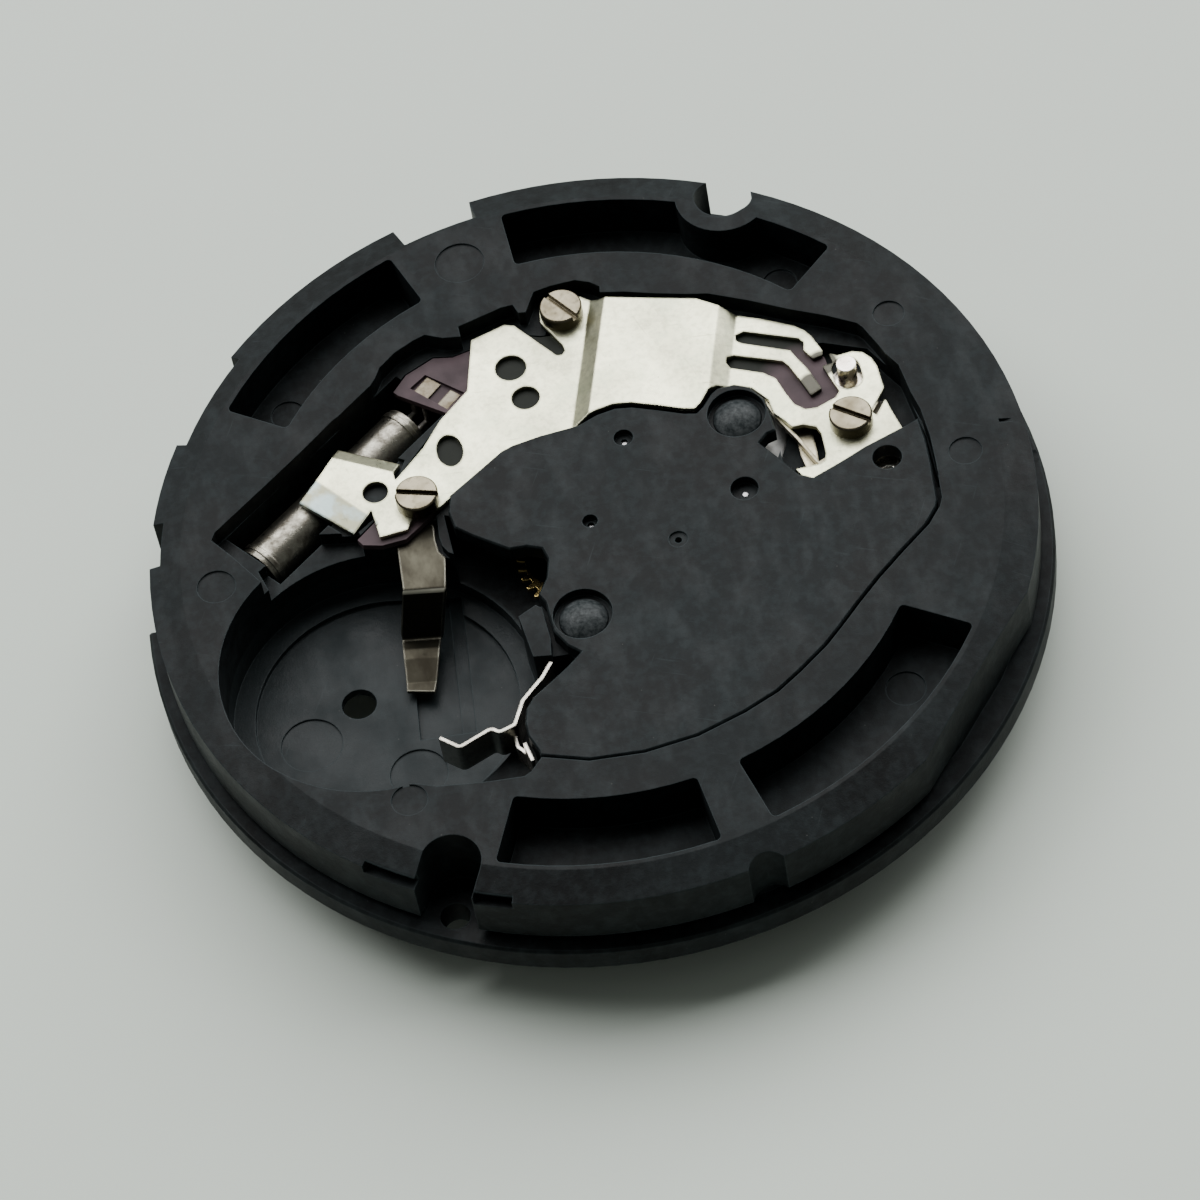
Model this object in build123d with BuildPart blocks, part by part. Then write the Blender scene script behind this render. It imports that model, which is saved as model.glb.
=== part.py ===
"""A round quartz watch movement, seen in its moulded holder ring.

Origin: centre of the movement in the plane of the dial-side seat.
+Z points to the train side (the back of the watch), -Z to the dial and hands,
+X points along the winding stem, towards 3 o'clock. Millimetres.
"""
from build123d import *
from math import atan2, cos, degrees, pi, radians, sin
import os

os.makedirs("parts", exist_ok=True)

# Main plate and holder ring
flange_radius = 13.0
flange_height = 0.85
groove_radius = 12.3
groove_top = 1.1
wall_radius = 12.62
bevel_start = 2.69
top_radius = 11.68
plate_height = 3.0
edge_break = 0.08
overrun = 0.5
cavity_size = 10.0
web_bottom = 0.62
web_top = 0.95
board_seat = 2.25
bridge_seat = 2.40
part_gap = 0.13
seat_gap = 0.02

# Recesses of the holder ring
pocket_floor = 1.5
pocket_outer = 11.55
pocket_inner = 9.6
pocket_inner_low = 9.4
pocket_corner = 0.15
ejector_depth = 0.05
foot_notch_radius = 0.85
foot_notch_reach = 12.1
foot_notch_angle = 59.0
foot_wall = 0.55
foot_slot_reach = 11.78
foot_hole_reach = 12.22
foot_hole_radius = 0.42
side_groove_radius = 0.6
side_groove_angle = 280.0
gate_floor = 2.42
gate_top = 2.74
gate_depth = 0.35
stem_bore_radius = 0.5
stem_height = 1.30
stem_mark_width = 0.12
stem_mark_length = 0.5
stem_mark_floor = 2.80

# Battery well
well_radius = 4.39
well_x_share = -0.681
well_y_share = -0.295
well_floor_radius = 3.77
well_floor = 0.28
well_ledge = 0.45
well_hole_radius = 0.5
trough_width = 1.2
trough_step_width = 0.38
trough_floor = 0.12
trough_step_floor = 0.2
trough_length = 4.6
trough_slant = 6.3

# Crystal can
can_radius = 0.75
can_length = 6.3
can_angle = 36.3
can_height = 1.50
can_rim_width = 0.16
can_rim_proud = 0.04
can_side_gap = 0.24
can_end_gap = 0.12
can_end_room = 0.80
low_wall_top = 1.90
lead_radius = 0.09
lead_pitch = 0.5
lead_run = 0.60

# Wheel train
tooth_tip_share = 0.8
tooth_root_share = 1.25
module_seconds = 0.1096
module_step = 0.0886
module_third = 0.0885
module_hour_train = 0.125
seconds_teeth = 40
step_teeth = 48
third_teeth = 60
drive_teeth = 64
leaf_count = 8
cannon_teeth = 12
minute_teeth = 36
minute_leaves = 10
hour_teeth = 40
setting_teeth = 20
wheel_thickness = 0.12
window_share = 0.40
pivot_radius = 0.08
pivot_gap = 0.02
collar_radius = 0.18
step_angle = -30.7
rotor_angle = 28.1
third_angle = 59.3
minute_angle = -53.0
sink_radius = 0.28
rotor_sink_radius = 0.4
centre_sink_radius = 0.22
sink_depth = 0.22
end_shake = 0.04
pivot_depth = 0.2

# Heights of the wheels above the dial seat
drive_level = 0.46
second_level = 1.35
third_level = 1.65
step_level = 2.05
minute_level = 0.32
hour_level = 0.06
setting_level = 0.30
leaf_height = 0.22

# Hand fittings on the dial side
seconds_arbor_radius = 0.10
seconds_arbor_tip = -1.65
seconds_seat_length = 0.30
seconds_body_radius = 0.11
centre_tube_bore = 0.13
centre_tube_radius = 0.22
centre_tube_tip = -0.2
centre_tube_shoulder = 0.42
cannon_bore = 0.24
minute_seat_radius = 0.35
minute_seat_length = 0.40
cannon_radius = 0.37
cannon_tip = -1.35
seat_taper = 0.60
hour_bore = 0.41
hour_radius = 0.60
hour_tip = -0.95

# Step motor
magnet_radius = 0.65
magnet_bottom = 1.05
magnet_height = 0.60
stator_bottom = 1.15
stator_thickness = 0.35
stator_hole = 0.85
stator_radius = 1.2
stator_arm_width = 0.85
coil_x_share = 0.30
coil_y_share = 0.583
coil_angle = -16.8
coil_height = 1.62
coil_length = 3.9
coil_radius = 0.52
cheek_radius = 0.60
cheek_width = 0.2
core_radius = 0.22
core_length = 5.3
lug_width = 0.8
lug_thickness = 0.2
coil_sleeve = 0.05

# Train bridge and its plastic rivets
bridge_thickness = 0.5
bridge_edge = 0.05
rivet_post_radius = 0.32
rivet_pillar_radius = 0.42
rivet_head_radius = 0.70
rivet_head_height = 0.30
rivet_bore_radius = 0.34
rivet_sink_radius = 0.84
rivet_sink_depth = 0.30
dimple_radius = 0.27
dimple_depth = 0.06
release_hole_radius = 0.42

# Metal maintaining plate
sheet = 0.15
sheet_seat = 2.45
sheet_corner = 0.03
sheet_rise = 0.35
fold_width = 0.50
fold_angle = 71.5
first_fold = -0.69
second_fold = 3.17
flap_reach = 0.84
flap_gap = 0.03
screw_hole_radius = 0.36

# Screws and threaded inserts
screw_head_radius = 0.62
screw_head_height = 0.45
screw_shank_radius = 0.28
screw_shank_length = 1.1
screw_slot_width = 0.17
screw_slot_depth = 0.17
screw_edge = 0.05
insert_radius = 0.42
insert_bore = 0.30
insert_bottom = 0.72

# Circuit board and its parts
board_thickness = 0.2
board_gap = 0.08
window_depth = 0.11
pad_thickness = 0.06
chip_side = 1.5
chip_height = 0.3
chip_crown = 0.06

# Battery contacts
strip_thickness = 0.12
strip_top = 2.22
strip_low = 0.60
strip_drop_run = 0.55
strip_bend_radius = 0.12
tongue_length = 1.90
tongue_bow = 0.13
spring_thickness = 0.1
spring_top = 2.62
spring_bottom = 1.5
leaf_bend_radius = 0.17
link_drop = 0.45

# Keyless works
clutch_radius = 0.60
clutch_groove_radius = 0.42
clutch_length = 1.0
clutch_start = 6.05
clutch_groove_width = 0.34
clutch_bore = 0.25
clutch_teeth = 12
clutch_tooth_depth = 0.14
lever_level = 2.0
lever_thickness = 0.2
lever_post_radius = 0.28
lever_post_top = 3.0
lever_pivot_gap = 0.03
yoke_pivot_radius = 0.24
yoke_clearance = 0.05
keyless_floor = 1.92
keyless_room = 0.30
yoke_spring_thickness = 0.09

# Dial-side keeper plate
keeper_bottom = 0.03
keeper_thickness = 0.11
keeper_inner = 2.65
keeper_outer = 5.0
keeper_start = -108.0
keeper_stop = 100.0
keeper_screw_angles = [-101.0, 30.0, 93.0]
keeper_screw_radius = 0.34
keeper_shank_radius = 0.2
keeper_shank_length = 0.45
keeper_head_height = 0.06
dial_wheel_gap = 0.12
wheel_post_radius = 0.2


def spots(shares, size=cavity_size):
    """Turn a list of shares into places."""
    return [(size * x, size * y) for x, y in shares]


def inset(points, distance):
    """Move a counterclockwise outline inwards by a distance, corner by corner."""
    moved = []
    for i, here in enumerate(points):
        before, after = Vector(*points[i - 1]), Vector(*points[(i + 1) % len(points)])
        here = Vector(*here)
        one, two = (here - before).normalized(), (after - here).normalized()
        normal_one, normal_two = Vector(-one.Y, one.X), Vector(-two.Y, two.X)
        bisector = (normal_one + normal_two).normalized()
        step = distance / max(bisector.dot(normal_one), 0.5)
        moved.append((here.X + bisector.X * step, here.Y + bisector.Y * step))
    return moved


def around(radius, angle, centre=(0, 0)):
    """The place at a radius and an angle in degrees from a centre."""
    return (centre[0] + radius * cos(radians(angle)), centre[1] + radius * sin(radians(angle)))


def sector(inner, outer, start, stop):
    """Draw a closed ring sector as the outline of the line builder."""
    CenterArc((0, 0), outer, start, stop - start)
    Line(around(outer, stop), around(inner, stop))
    CenterArc((0, 0), inner, stop, start - stop)
    Line(around(inner, start), around(outer, start))


def tooth_outline(teeth, module, aim=0.0, gap_at_aim=False):
    """Outline of a toothed wheel, with a tooth or a gap pointing at the angle aim."""
    pitch_step = 360 / teeth
    start = aim + (pitch_step / 2 if gap_at_aim else 0)
    root = module * (teeth / 2 - tooth_root_share)
    pitch = module * teeth / 2
    tip = module * (teeth / 2 + tooth_tip_share)
    shape_shares = [(-0.30, root), (-0.20, pitch), (-0.08, tip), (0.08, tip), (0.20, pitch), (0.30, root)]
    points = []
    for tooth in range(teeth):
        for share, radius in shape_shares:
            points.append(around(radius, start + pitch_step * (tooth + share)))
    return points


def tip_radius(teeth, module):
    return module * (teeth / 2 + tooth_tip_share)


def strip_outline(line, width):
    """Outline of a strip of even width along a line of points."""
    left, right = [], []
    for i, (x, y) in enumerate(line):
        before = Vector(*line[max(i - 1, 0)])
        after = Vector(*line[min(i + 1, len(line) - 1)])
        run = (after - before).normalized()
        left.append((x - run.Y * width / 2, y + run.X * width / 2))
        right.append((x + run.Y * width / 2, y - run.X * width / 2))
    return right + left[::-1]


# Places of the wheels, worked out from their teeth
centre = (0, 0)
seconds_distance = module_seconds * (seconds_teeth + leaf_count) / 2
rotor_distance = module_step * (step_teeth + leaf_count) / 2
third_distance = module_third * (third_teeth + leaf_count) / 2
module_drive = 2 * third_distance / (drive_teeth + leaf_count)
minute_distance = module_hour_train * (minute_teeth + cannon_teeth) / 2
module_hour = 2 * minute_distance / (hour_teeth + minute_leaves)
setting_distance = module_hour_train * (minute_teeth + setting_teeth) / 2
step_place = around(seconds_distance, step_angle)
rotor_place = around(rotor_distance, rotor_angle, step_place)
third_place = around(third_distance, third_angle)
minute_place = around(minute_distance, minute_angle)
setting_drop = -minute_place[1] / setting_distance
setting_angle = degrees(atan2(setting_drop, (1 - setting_drop ** 2) ** 0.5))
setting_place = around(setting_distance, setting_angle, minute_place)
magnet_top = magnet_bottom + magnet_height
stator_top = stator_bottom + stator_thickness
bridge_top = bridge_seat + bridge_thickness
sheet_top = sheet_seat + sheet
raised_seat = sheet_seat + sheet_rise
board_top = board_seat + board_thickness

# Places of the fixings and the contacts, as shares of the cavity size
screw_shares = [(-0.457, 0.233), (0.079, 0.769), (0.793, 0.142)]
screw_turns = [-20.0, -57.0, -40.0]
rivet_shares = [(0.483, 0.248), (-0.087, -0.306)]
lever_post_share = (0.823, 0.320)
release_share = (0.857, -0.030)
yoke_pivot_share = (0.665, 0.395)
can_start_share = (-0.9435, 0.206)
well_hole_share = (-0.755, -0.240)
trough_share = (-0.500, 0.040)
screw_places = spots(screw_shares)
rivet_places = spots(rivet_shares)
lever_post = spots([lever_post_share])[0]
release_place = spots([release_share])[0]
yoke_pivot = spots([yoke_pivot_share])[0]
can_start = spots([can_start_share])[0]
well_place = (cavity_size * well_x_share, cavity_size * well_y_share)
coil_place = (cavity_size * coil_x_share, cavity_size * coil_y_share)

keeper_screw_reach = keeper_outer - 1.5 * keeper_screw_radius
keeper_screw_places = [around(keeper_screw_reach, angle) for angle in keeper_screw_angles]
core_reach = core_length / 2
left_end, right_end = [around(side * core_reach, coil_angle, coil_place) for side in (-1, 1)]
arm_reaches = [-1.5 * lug_width, lug_width / 2]
stator_left = [rotor_place] + spots([(0.345, 0.170), (0.290, 0.350)])
stator_left += [around(reach, coil_angle + 90, left_end) for reach in arm_reaches]
stator_right = [rotor_place] + spots([(0.515, 0.120), (0.578, 0.230)])
stator_right += [around(reach, coil_angle + 90, right_end) for reach in arm_reaches]

# Edge of the room inside the ring, counterclockwise from 3 o'clock
cavity_shares = [
    (0.990, 0.000), (0.987, 0.100), (0.973, 0.180), (0.953, 0.280), (0.927, 0.360), (0.900, 0.433),
    (0.887, 0.453), (0.807, 0.507), (0.713, 0.560), (0.607, 0.627), (0.500, 0.687), (0.442, 0.703),
    (0.352, 0.734), (0.270, 0.766), (0.200, 0.786), (0.204, 0.807), (0.180, 0.831), (0.139, 0.852),
    (0.063, 0.852), (0.014, 0.845), (-0.006, 0.810), (-0.023, 0.779), (-0.044, 0.783), (-0.054, 0.817),
    (-0.089, 0.817), (-0.223, 0.786), (-0.223, 0.748), (-0.275, 0.759), (-0.323, 0.786), (-0.358, 0.776),
    (-0.420, 0.748), (-0.473, 0.707), (-0.493, 0.673), (-0.520, 0.640), (-0.573, 0.597), (-0.640, 0.560),
    (-0.753, 0.473), (-0.900, 0.367), (-1.040, 0.267), (-1.053, 0.243), (-1.007, 0.173), (-0.940, 0.057),
    (-0.850, -0.050), (-0.700, -0.600), (-0.650, -0.735), (-0.594, -0.761), (-0.452, -0.787),
    (-0.355, -0.798), (-0.333, -0.787), (-0.297, -0.750), (-0.240, -0.773),
    (-0.173, -0.800), (-0.020, -0.818), (0.133, -0.807), (0.275, -0.768), (0.379, -0.727), (0.454, -0.679),
    (0.543, -0.615), (0.596, -0.567), (0.663, -0.503), (0.737, -0.436), (0.825, -0.365), (0.913, -0.298),
    (0.957, -0.246), (0.969, -0.220), (0.983, -0.100),
]
cavity_outline = spots(cavity_shares)

# The moulded main plate, with the holder ring in one piece
with BuildPart() as main_plate:
    with BuildSketch(Plane.XZ):
        with BuildLine():
            Polyline(
                (0, 0),
                (flange_radius - edge_break, 0),
                (flange_radius, edge_break),
                (flange_radius, flange_height - edge_break),
                (flange_radius - edge_break, flange_height),
                (groove_radius, flange_height),
                (groove_radius, groove_top),
                (wall_radius, groove_top),
                (wall_radius, bevel_start),
                (top_radius, plate_height),
                (0, plate_height),
                close=True,
            )
        make_face()
    revolve(axis=Axis.Z)

    # Room for the bridge, the sheet metal and the board
    with BuildSketch(Plane.XY.offset(bridge_seat)):
        Polygon(*cavity_outline, align=None)
    extrude(amount=plate_height - bridge_seat + overrun, mode=Mode.SUBTRACT)

    # Five pockets in the ring top
    pocket_spans = [(108.5, 143.5, pocket_inner), (40.5, 91.0, pocket_inner),
                    (283.5, 325.0, pocket_inner_low), (245.0, 276.0, pocket_inner_low)]
    for start, stop, inner in pocket_spans:
        with BuildSketch(Plane.XY.offset(pocket_floor)) as pocket:
            with BuildLine():
                sector(inner, pocket_outer, start, stop)
            make_face()
            fillet(pocket.vertices(), pocket_corner)
            with Locations(around(foot_notch_reach, foot_notch_angle)):
                Circle(foot_notch_radius + foot_wall, mode=Mode.SUBTRACT)
        extrude(amount=plate_height - pocket_floor + overrun, mode=Mode.SUBTRACT)

    # Cuts in the outer wall: start and end angle, depth and lowest height
    band_cuts = [(94.5, 105.5, top_radius + edge_break, flange_height),
                 (134.5, 150.0, groove_radius, flange_height),
                 (163.0, 170.0, groove_radius, flange_height),
                 (150.0, 174.0, wall_radius, -overrun),
                 (228.0, 235.5, wall_radius - gate_depth, gate_floor),
                 (243.0, 248.0, wall_radius - gate_depth, gate_floor)]
    for start, stop, inner, floor in band_cuts:
        height = (gate_top if floor > flange_height else plate_height) - floor
        with BuildSketch(Plane.XY.offset(floor)):
            with BuildLine():
                sector(inner, flange_radius + overrun, start, stop)
            make_face()
        extrude(amount=height, mode=Mode.SUBTRACT)

    # Flat on the ring at the lower right
    flat_distance = wall_radius - gate_depth * 1.1
    with BuildSketch(Plane.XY.offset(flange_height).rotated((0, 0, -41.5))):
        with Locations((flat_distance + flange_radius / 2, 0)):
            Rectangle(flange_radius, flange_radius)
    extrude(amount=plate_height - flange_height, mode=Mode.SUBTRACT)

    # Notch and slot over the two dial feet, and the moulding groove
    with BuildSketch(Plane.XY.offset(flange_height)):
        with Locations(around(foot_notch_reach, foot_notch_angle)):
            Circle(foot_notch_radius)
        with Locations(around(side_groove_radius + groove_radius, side_groove_angle)):
            Circle(side_groove_radius)
    extrude(amount=plate_height, mode=Mode.SUBTRACT)
    with BuildSketch(Plane.XY.offset(flange_height).rotated((0, 0, foot_notch_angle + 180))):
        with Locations((foot_slot_reach, 0)):
            Circle(foot_notch_radius)
        with Locations((foot_slot_reach + flange_radius / 2, 0)):
            Rectangle(flange_radius, 2 * foot_notch_radius)
    extrude(amount=plate_height, mode=Mode.SUBTRACT)
    with BuildSketch(Plane.XY.offset(-overrun)):
        with Locations(*[around(foot_hole_reach, foot_notch_angle + turn) for turn in (0, 180)]):
            Circle(foot_hole_radius)
    extrude(amount=plate_height, mode=Mode.SUBTRACT)

    # Ejector marks: place share, radius share and the height of the face they sit in
    ring_marks = [(-0.172, 1.017, 0.072), (-1.067, 0.080, 0.055), (0.983, 0.460, 0.045),
                  (1.073, -0.080, 0.047), (-0.676, -0.783, 0.050)]
    pocket_marks = [(0.730, -0.715, 0.056), (-0.763, 0.735, 0.050), (0.724, 0.781, 0.050)]
    well_marks = [(-0.911, -0.338, 0.088), (-0.636, -0.520, 0.082)]

    # Battery well with its floor, ledge, hole and contact trough
    with BuildSketch(Plane.XY.offset(well_ledge)):
        with Locations(well_place):
            Circle(well_radius)
    extrude(amount=plate_height, mode=Mode.SUBTRACT)
    with BuildSketch(Plane.XY.offset(well_floor)):
        with Locations(well_place):
            Circle(well_floor_radius)
    extrude(amount=plate_height, mode=Mode.SUBTRACT)
    trough_end = spots([trough_share])[0]
    trough_plane = Plane(trough_end + (trough_floor,)).rotated((0, 0, -trough_slant))
    with BuildSketch(trough_plane):
        Rectangle(trough_width, trough_length, align=(Align.CENTER, Align.MAX))
    extrude(amount=plate_height, mode=Mode.SUBTRACT)
    with BuildSketch(trough_plane.offset(trough_step_floor - trough_floor)):
        with Locations((trough_width / 2 + trough_step_width / 2, 0)):
            Rectangle(trough_step_width + seat_gap, trough_length, align=(Align.CENTER, Align.MAX))
    extrude(amount=plate_height, mode=Mode.SUBTRACT)
    with BuildSketch(Plane.XY.offset(-overrun)):
        with Locations(spots([well_hole_share])[0]):
            Circle(well_hole_radius)
    extrude(amount=plate_height, mode=Mode.SUBTRACT)
    mark_groups = [(ring_marks, plate_height), (pocket_marks, pocket_floor), (well_marks, well_floor)]
    for marks, face_height in mark_groups:
        with BuildSketch(Plane.XY.offset(face_height - ejector_depth)):
            for x, y, radius in marks:
                with Locations((cavity_size * x, cavity_size * y)):
                    Circle(cavity_size * radius)
        extrude(amount=ejector_depth + edge_break, mode=Mode.SUBTRACT)

    # Room for the two battery contacts beside the well
    side_shares = [(-0.300, -0.160), (-0.262, -0.245), (-0.245, -0.385), (-0.150, -0.395), (-0.125, -0.432),
                   (-0.222, -0.500), (-0.280, -0.545), (-0.308, -0.620), (-0.308, -0.665), (-0.295, -0.735),
                   (-0.345, -0.780), (-0.452, -0.775), (-0.594, -0.750), (-0.650, -0.600), (-0.400, -0.300)]
    with BuildSketch(Plane.XY.offset(spring_bottom - seat_gap)):
        Polygon(*spots(side_shares), align=None)
    extrude(amount=plate_height, mode=Mode.SUBTRACT)
    arm_shares = [(-0.540, 0.190), (-0.515, 0.190), (-0.430, 0.170), (-0.436, 0.112), (-0.434, 0.073),
                  (-0.420, 0.044), (-0.440, -0.056), (-0.558, -0.031)]
    strip_floor = strip_top - strip_thickness - seat_gap
    with BuildSketch(Plane.XY.offset(strip_floor)):
        Polygon(*inset(spots(arm_shares)[::-1], -part_gap), align=None)
    extrude(amount=plate_height, mode=Mode.SUBTRACT)

    # Channel of the crystal can, with the low wall between it and the well
    rim_radius = can_radius + can_rim_proud
    channel_floor = can_height - rim_radius - seat_gap
    channel_plane = Plane(can_start + (channel_floor,)).rotated((0, 0, can_angle))
    with BuildSketch(channel_plane):
        with Locations((can_length / 2 + can_end_room / 2 - can_end_gap / 2, 0)):
            Rectangle(can_length + can_end_room + can_end_gap, 2 * (rim_radius + can_side_gap))
    extrude(amount=plate_height, mode=Mode.SUBTRACT)

    # Low wall between the can and the well, and room for the flaps of the clip
    low_shares = [(-0.945, 0.140), (-0.920, 0.040), (-0.830, 0.000), (-0.640, 0.060), (-0.640, 0.190),
                  (-0.800, 0.230)]
    with BuildSketch(Plane.XY.offset(low_wall_top)):
        Polygon(*spots(low_shares), align=None)
    extrude(amount=plate_height, mode=Mode.SUBTRACT)
    clip_shares = [(-0.592, 0.225), (-0.668, 0.175), (-0.803, 0.345), (-0.723, 0.410)]
    clip_back_shares = [(-0.506, 0.330), (-0.465, 0.405), (-0.590, 0.490), (-0.670, 0.460)]
    with BuildSketch(Plane.XY.offset(can_height + can_radius)):
        Polygon(*spots(clip_shares), align=None)
        Polygon(*spots(clip_back_shares), align=None)
    extrude(amount=plate_height, mode=Mode.SUBTRACT)

    # Recess for the circuit board
    board_shares = [
        (-0.638, 0.140), (-0.586, 0.123), (-0.515, 0.125), (-0.385, 0.215), (-0.200, 0.338), (0.040, 0.375),
        (0.290, 0.345), (0.400, 0.372), (0.520, 0.385), (0.600, 0.315), (0.655, 0.215), (0.700, 0.195),
        (0.785, 0.240), (0.775, 0.400), (0.730, 0.480), (0.600, 0.585), (0.500, 0.660), (0.270, 0.735),
        (0.200, 0.760), (0.150, 0.700), (0.000, 0.720), (-0.120, 0.770), (-0.200, 0.733), (-0.260, 0.723),
        (-0.315, 0.737),
        (-0.404, 0.699), (-0.450, 0.650), (-0.440, 0.635), (-0.310, 0.525), (-0.460, 0.375), (-0.540, 0.245),
        (-0.595, 0.205), (-0.650, 0.162),
    ]
    board_outline = spots(board_shares)
    with BuildSketch(Plane.XY.offset(board_seat)):
        Polygon(*inset(board_outline, -board_gap), align=None)
    extrude(amount=plate_height, mode=Mode.SUBTRACT)

    # Wells for the wheels, the step motor and the keyless works
    with BuildSketch(Plane.XY.offset(web_top)):
        for place, radius in (
            (centre, tip_radius(seconds_teeth, module_seconds)),
            (third_place, tip_radius(third_teeth, module_third)),
            (step_place, tip_radius(step_teeth, module_step)),
            (rotor_place, stator_radius),
        ):
            with Locations(place):
                Circle(radius + part_gap)
        for line in (stator_left, stator_right):
            Polygon(*strip_outline(line, stator_arm_width + 2 * part_gap), align=None)
        with Locations(Location(coil_place, coil_angle)):
            Rectangle(core_length + lug_width + part_gap, 2 * (cheek_radius + part_gap))
    extrude(amount=plate_height, mode=Mode.SUBTRACT)
    keyless_shares = [(0.760, -0.130), (0.980, -0.140), (0.986, 0.050),
                      (0.966, 0.270), (0.900, 0.400), (0.780, 0.460), (0.620, 0.470), (0.590, 0.390)]
    keyless_start = clutch_start - keyless_room
    keyless_half = clutch_radius + keyless_room
    keyless_edge = [(keyless_start, keyless_half), (keyless_start, -keyless_half)]
    with BuildSketch(Plane.XY.offset(keyless_floor)):
        Polygon(*keyless_edge, *spots(keyless_shares), align=None)
    extrude(amount=plate_height, mode=Mode.SUBTRACT)
    clutch_room = clutch_radius + part_gap
    with BuildSketch(Plane.XY.offset(web_bottom)):
        with Locations(((clutch_start + clutch_length) - (clutch_length + clutch_groove_width) / 2, 0)):
            Rectangle(clutch_length + clutch_groove_width + 2 * part_gap, 2 * clutch_room)
    extrude(amount=plate_height, mode=Mode.SUBTRACT)

    # Dark opening at the left edge of the bridge, over the well wall
    mouth_shares = [(-0.395, 0.180), (-0.395, -0.010), (-0.300, -0.110), (-0.255, -0.230), (-0.180, -0.210),
                    (-0.120, -0.080), (-0.180, 0.010), (-0.280, 0.110)]
    with BuildSketch(Plane.XY.offset(web_top)):
        Polygon(*spots(mouth_shares), align=None)
    extrude(amount=plate_height, mode=Mode.SUBTRACT)

    # Block beside the bridge, and the pillars and rivet posts of the bridge
    block_shares = [(-0.262, -0.255), (-0.208, -0.230), (-0.193, -0.245), (-0.191, -0.355), (-0.200, -0.410),
                    (-0.250, -0.400)]
    with BuildSketch(Plane.XY.offset(well_floor)):
        Polygon(*spots(block_shares), align=None)
    extrude(amount=bridge_top - bridge_thickness / 4 - well_floor)
    with BuildSketch(Plane.XY.offset(web_bottom)):
        with Locations(*rivet_places):
            Circle(rivet_pillar_radius)
    extrude(amount=bridge_seat - web_bottom)
    with BuildSketch(Plane.XY.offset(bridge_seat)):
        with Locations(*rivet_places):
            Circle(rivet_post_radius)
    extrude(amount=bridge_thickness - rivet_head_height / 2)
    dome_radius = (rivet_head_radius ** 2 + rivet_head_height ** 2) / (2 * rivet_head_height)
    dome_drop = dome_radius - rivet_head_height
    dome_seat = bridge_top - rivet_sink_depth + seat_gap
    for x, y in rivet_places:
        with Locations((x, y, dome_seat - dome_drop)):
            Sphere(dome_radius, arc_size1=degrees(atan2(dome_drop, rivet_head_radius)), align=None)

    # Bores for the pivots, the centre tube, the inserts and the stem
    with BuildSketch(Plane.XY.offset(web_top - pivot_depth)):
        with Locations(step_place, rotor_place):
            Circle(pivot_radius + pivot_gap)
    extrude(amount=pivot_depth + edge_break, mode=Mode.SUBTRACT)
    with BuildSketch(Plane.XY.offset(-overrun)):
        Circle(centre_tube_radius + seat_gap)
        with Locations(third_place):
            Circle(tip_radius(leaf_count, module_drive) + part_gap)
    extrude(amount=plate_height, mode=Mode.SUBTRACT)
    with BuildSketch(Plane.XY.offset(insert_bottom)):
        with Locations(*screw_places):
            Circle(insert_radius + seat_gap)
    extrude(amount=plate_height, mode=Mode.SUBTRACT)
    lever_bore_depth = keyless_floor - web_top
    with BuildSketch(Plane.XY.offset(web_top)):
        with Locations(lever_post):
            Circle(lever_post_radius + lever_pivot_gap)
        with Locations(yoke_pivot):
            Circle(yoke_pivot_radius + lever_pivot_gap)
    extrude(amount=lever_bore_depth + edge_break, mode=Mode.SUBTRACT)
    with BuildSketch(Plane.YZ.offset(clutch_start + clutch_length)):
        with Locations((0, stem_height)):
            Circle(stem_bore_radius)
    extrude(amount=flange_radius, mode=Mode.SUBTRACT)

    # Dial side: wheel recesses, posts for the wheels and the seat of the keeper plate
    with BuildSketch(Plane.XY.offset(-overrun)):
        for place, radius in (
            (centre, tip_radius(drive_teeth, module_drive)),
            (minute_place, tip_radius(minute_teeth, module_hour_train)),
            (setting_place, tip_radius(setting_teeth, module_hour_train)),
            (third_place, tip_radius(leaf_count, module_drive)),
        ):
            with Locations(place):
                Circle(radius + dial_wheel_gap)
    extrude(amount=web_bottom + overrun, mode=Mode.SUBTRACT)
    with BuildSketch(Plane.XY.offset(-overrun)):
        with BuildLine():
            sector(keeper_inner - part_gap, keeper_outer + part_gap, keeper_start, keeper_stop)
        make_face()
    extrude(amount=keeper_bottom + keeper_thickness + seat_gap + overrun, mode=Mode.SUBTRACT)
    with BuildSketch(Plane.XY.offset(keeper_bottom + keeper_thickness + end_shake)):
        with Locations(minute_place, setting_place):
            Circle(wheel_post_radius)
    extrude(amount=web_bottom - keeper_bottom - keeper_thickness - end_shake)
    with BuildSketch(Plane.XY.offset(-overrun)):
        with Locations(*keeper_screw_places):
            Circle(keeper_shank_radius + seat_gap)
    extrude(amount=keeper_shank_length + keeper_bottom + keeper_thickness + overrun, mode=Mode.SUBTRACT)

    # Mark of the stem on the bevel
    with BuildSketch(Plane.XY.offset(stem_mark_floor)):
        with Locations(((top_radius + wall_radius) / 2, 0)):
            Rectangle(stem_mark_length, stem_mark_width)
    extrude(amount=plate_height, mode=Mode.SUBTRACT)
main_plate.part.label = "main_plate"
export_step(main_plate.part, "parts/main_plate.step")

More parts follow.
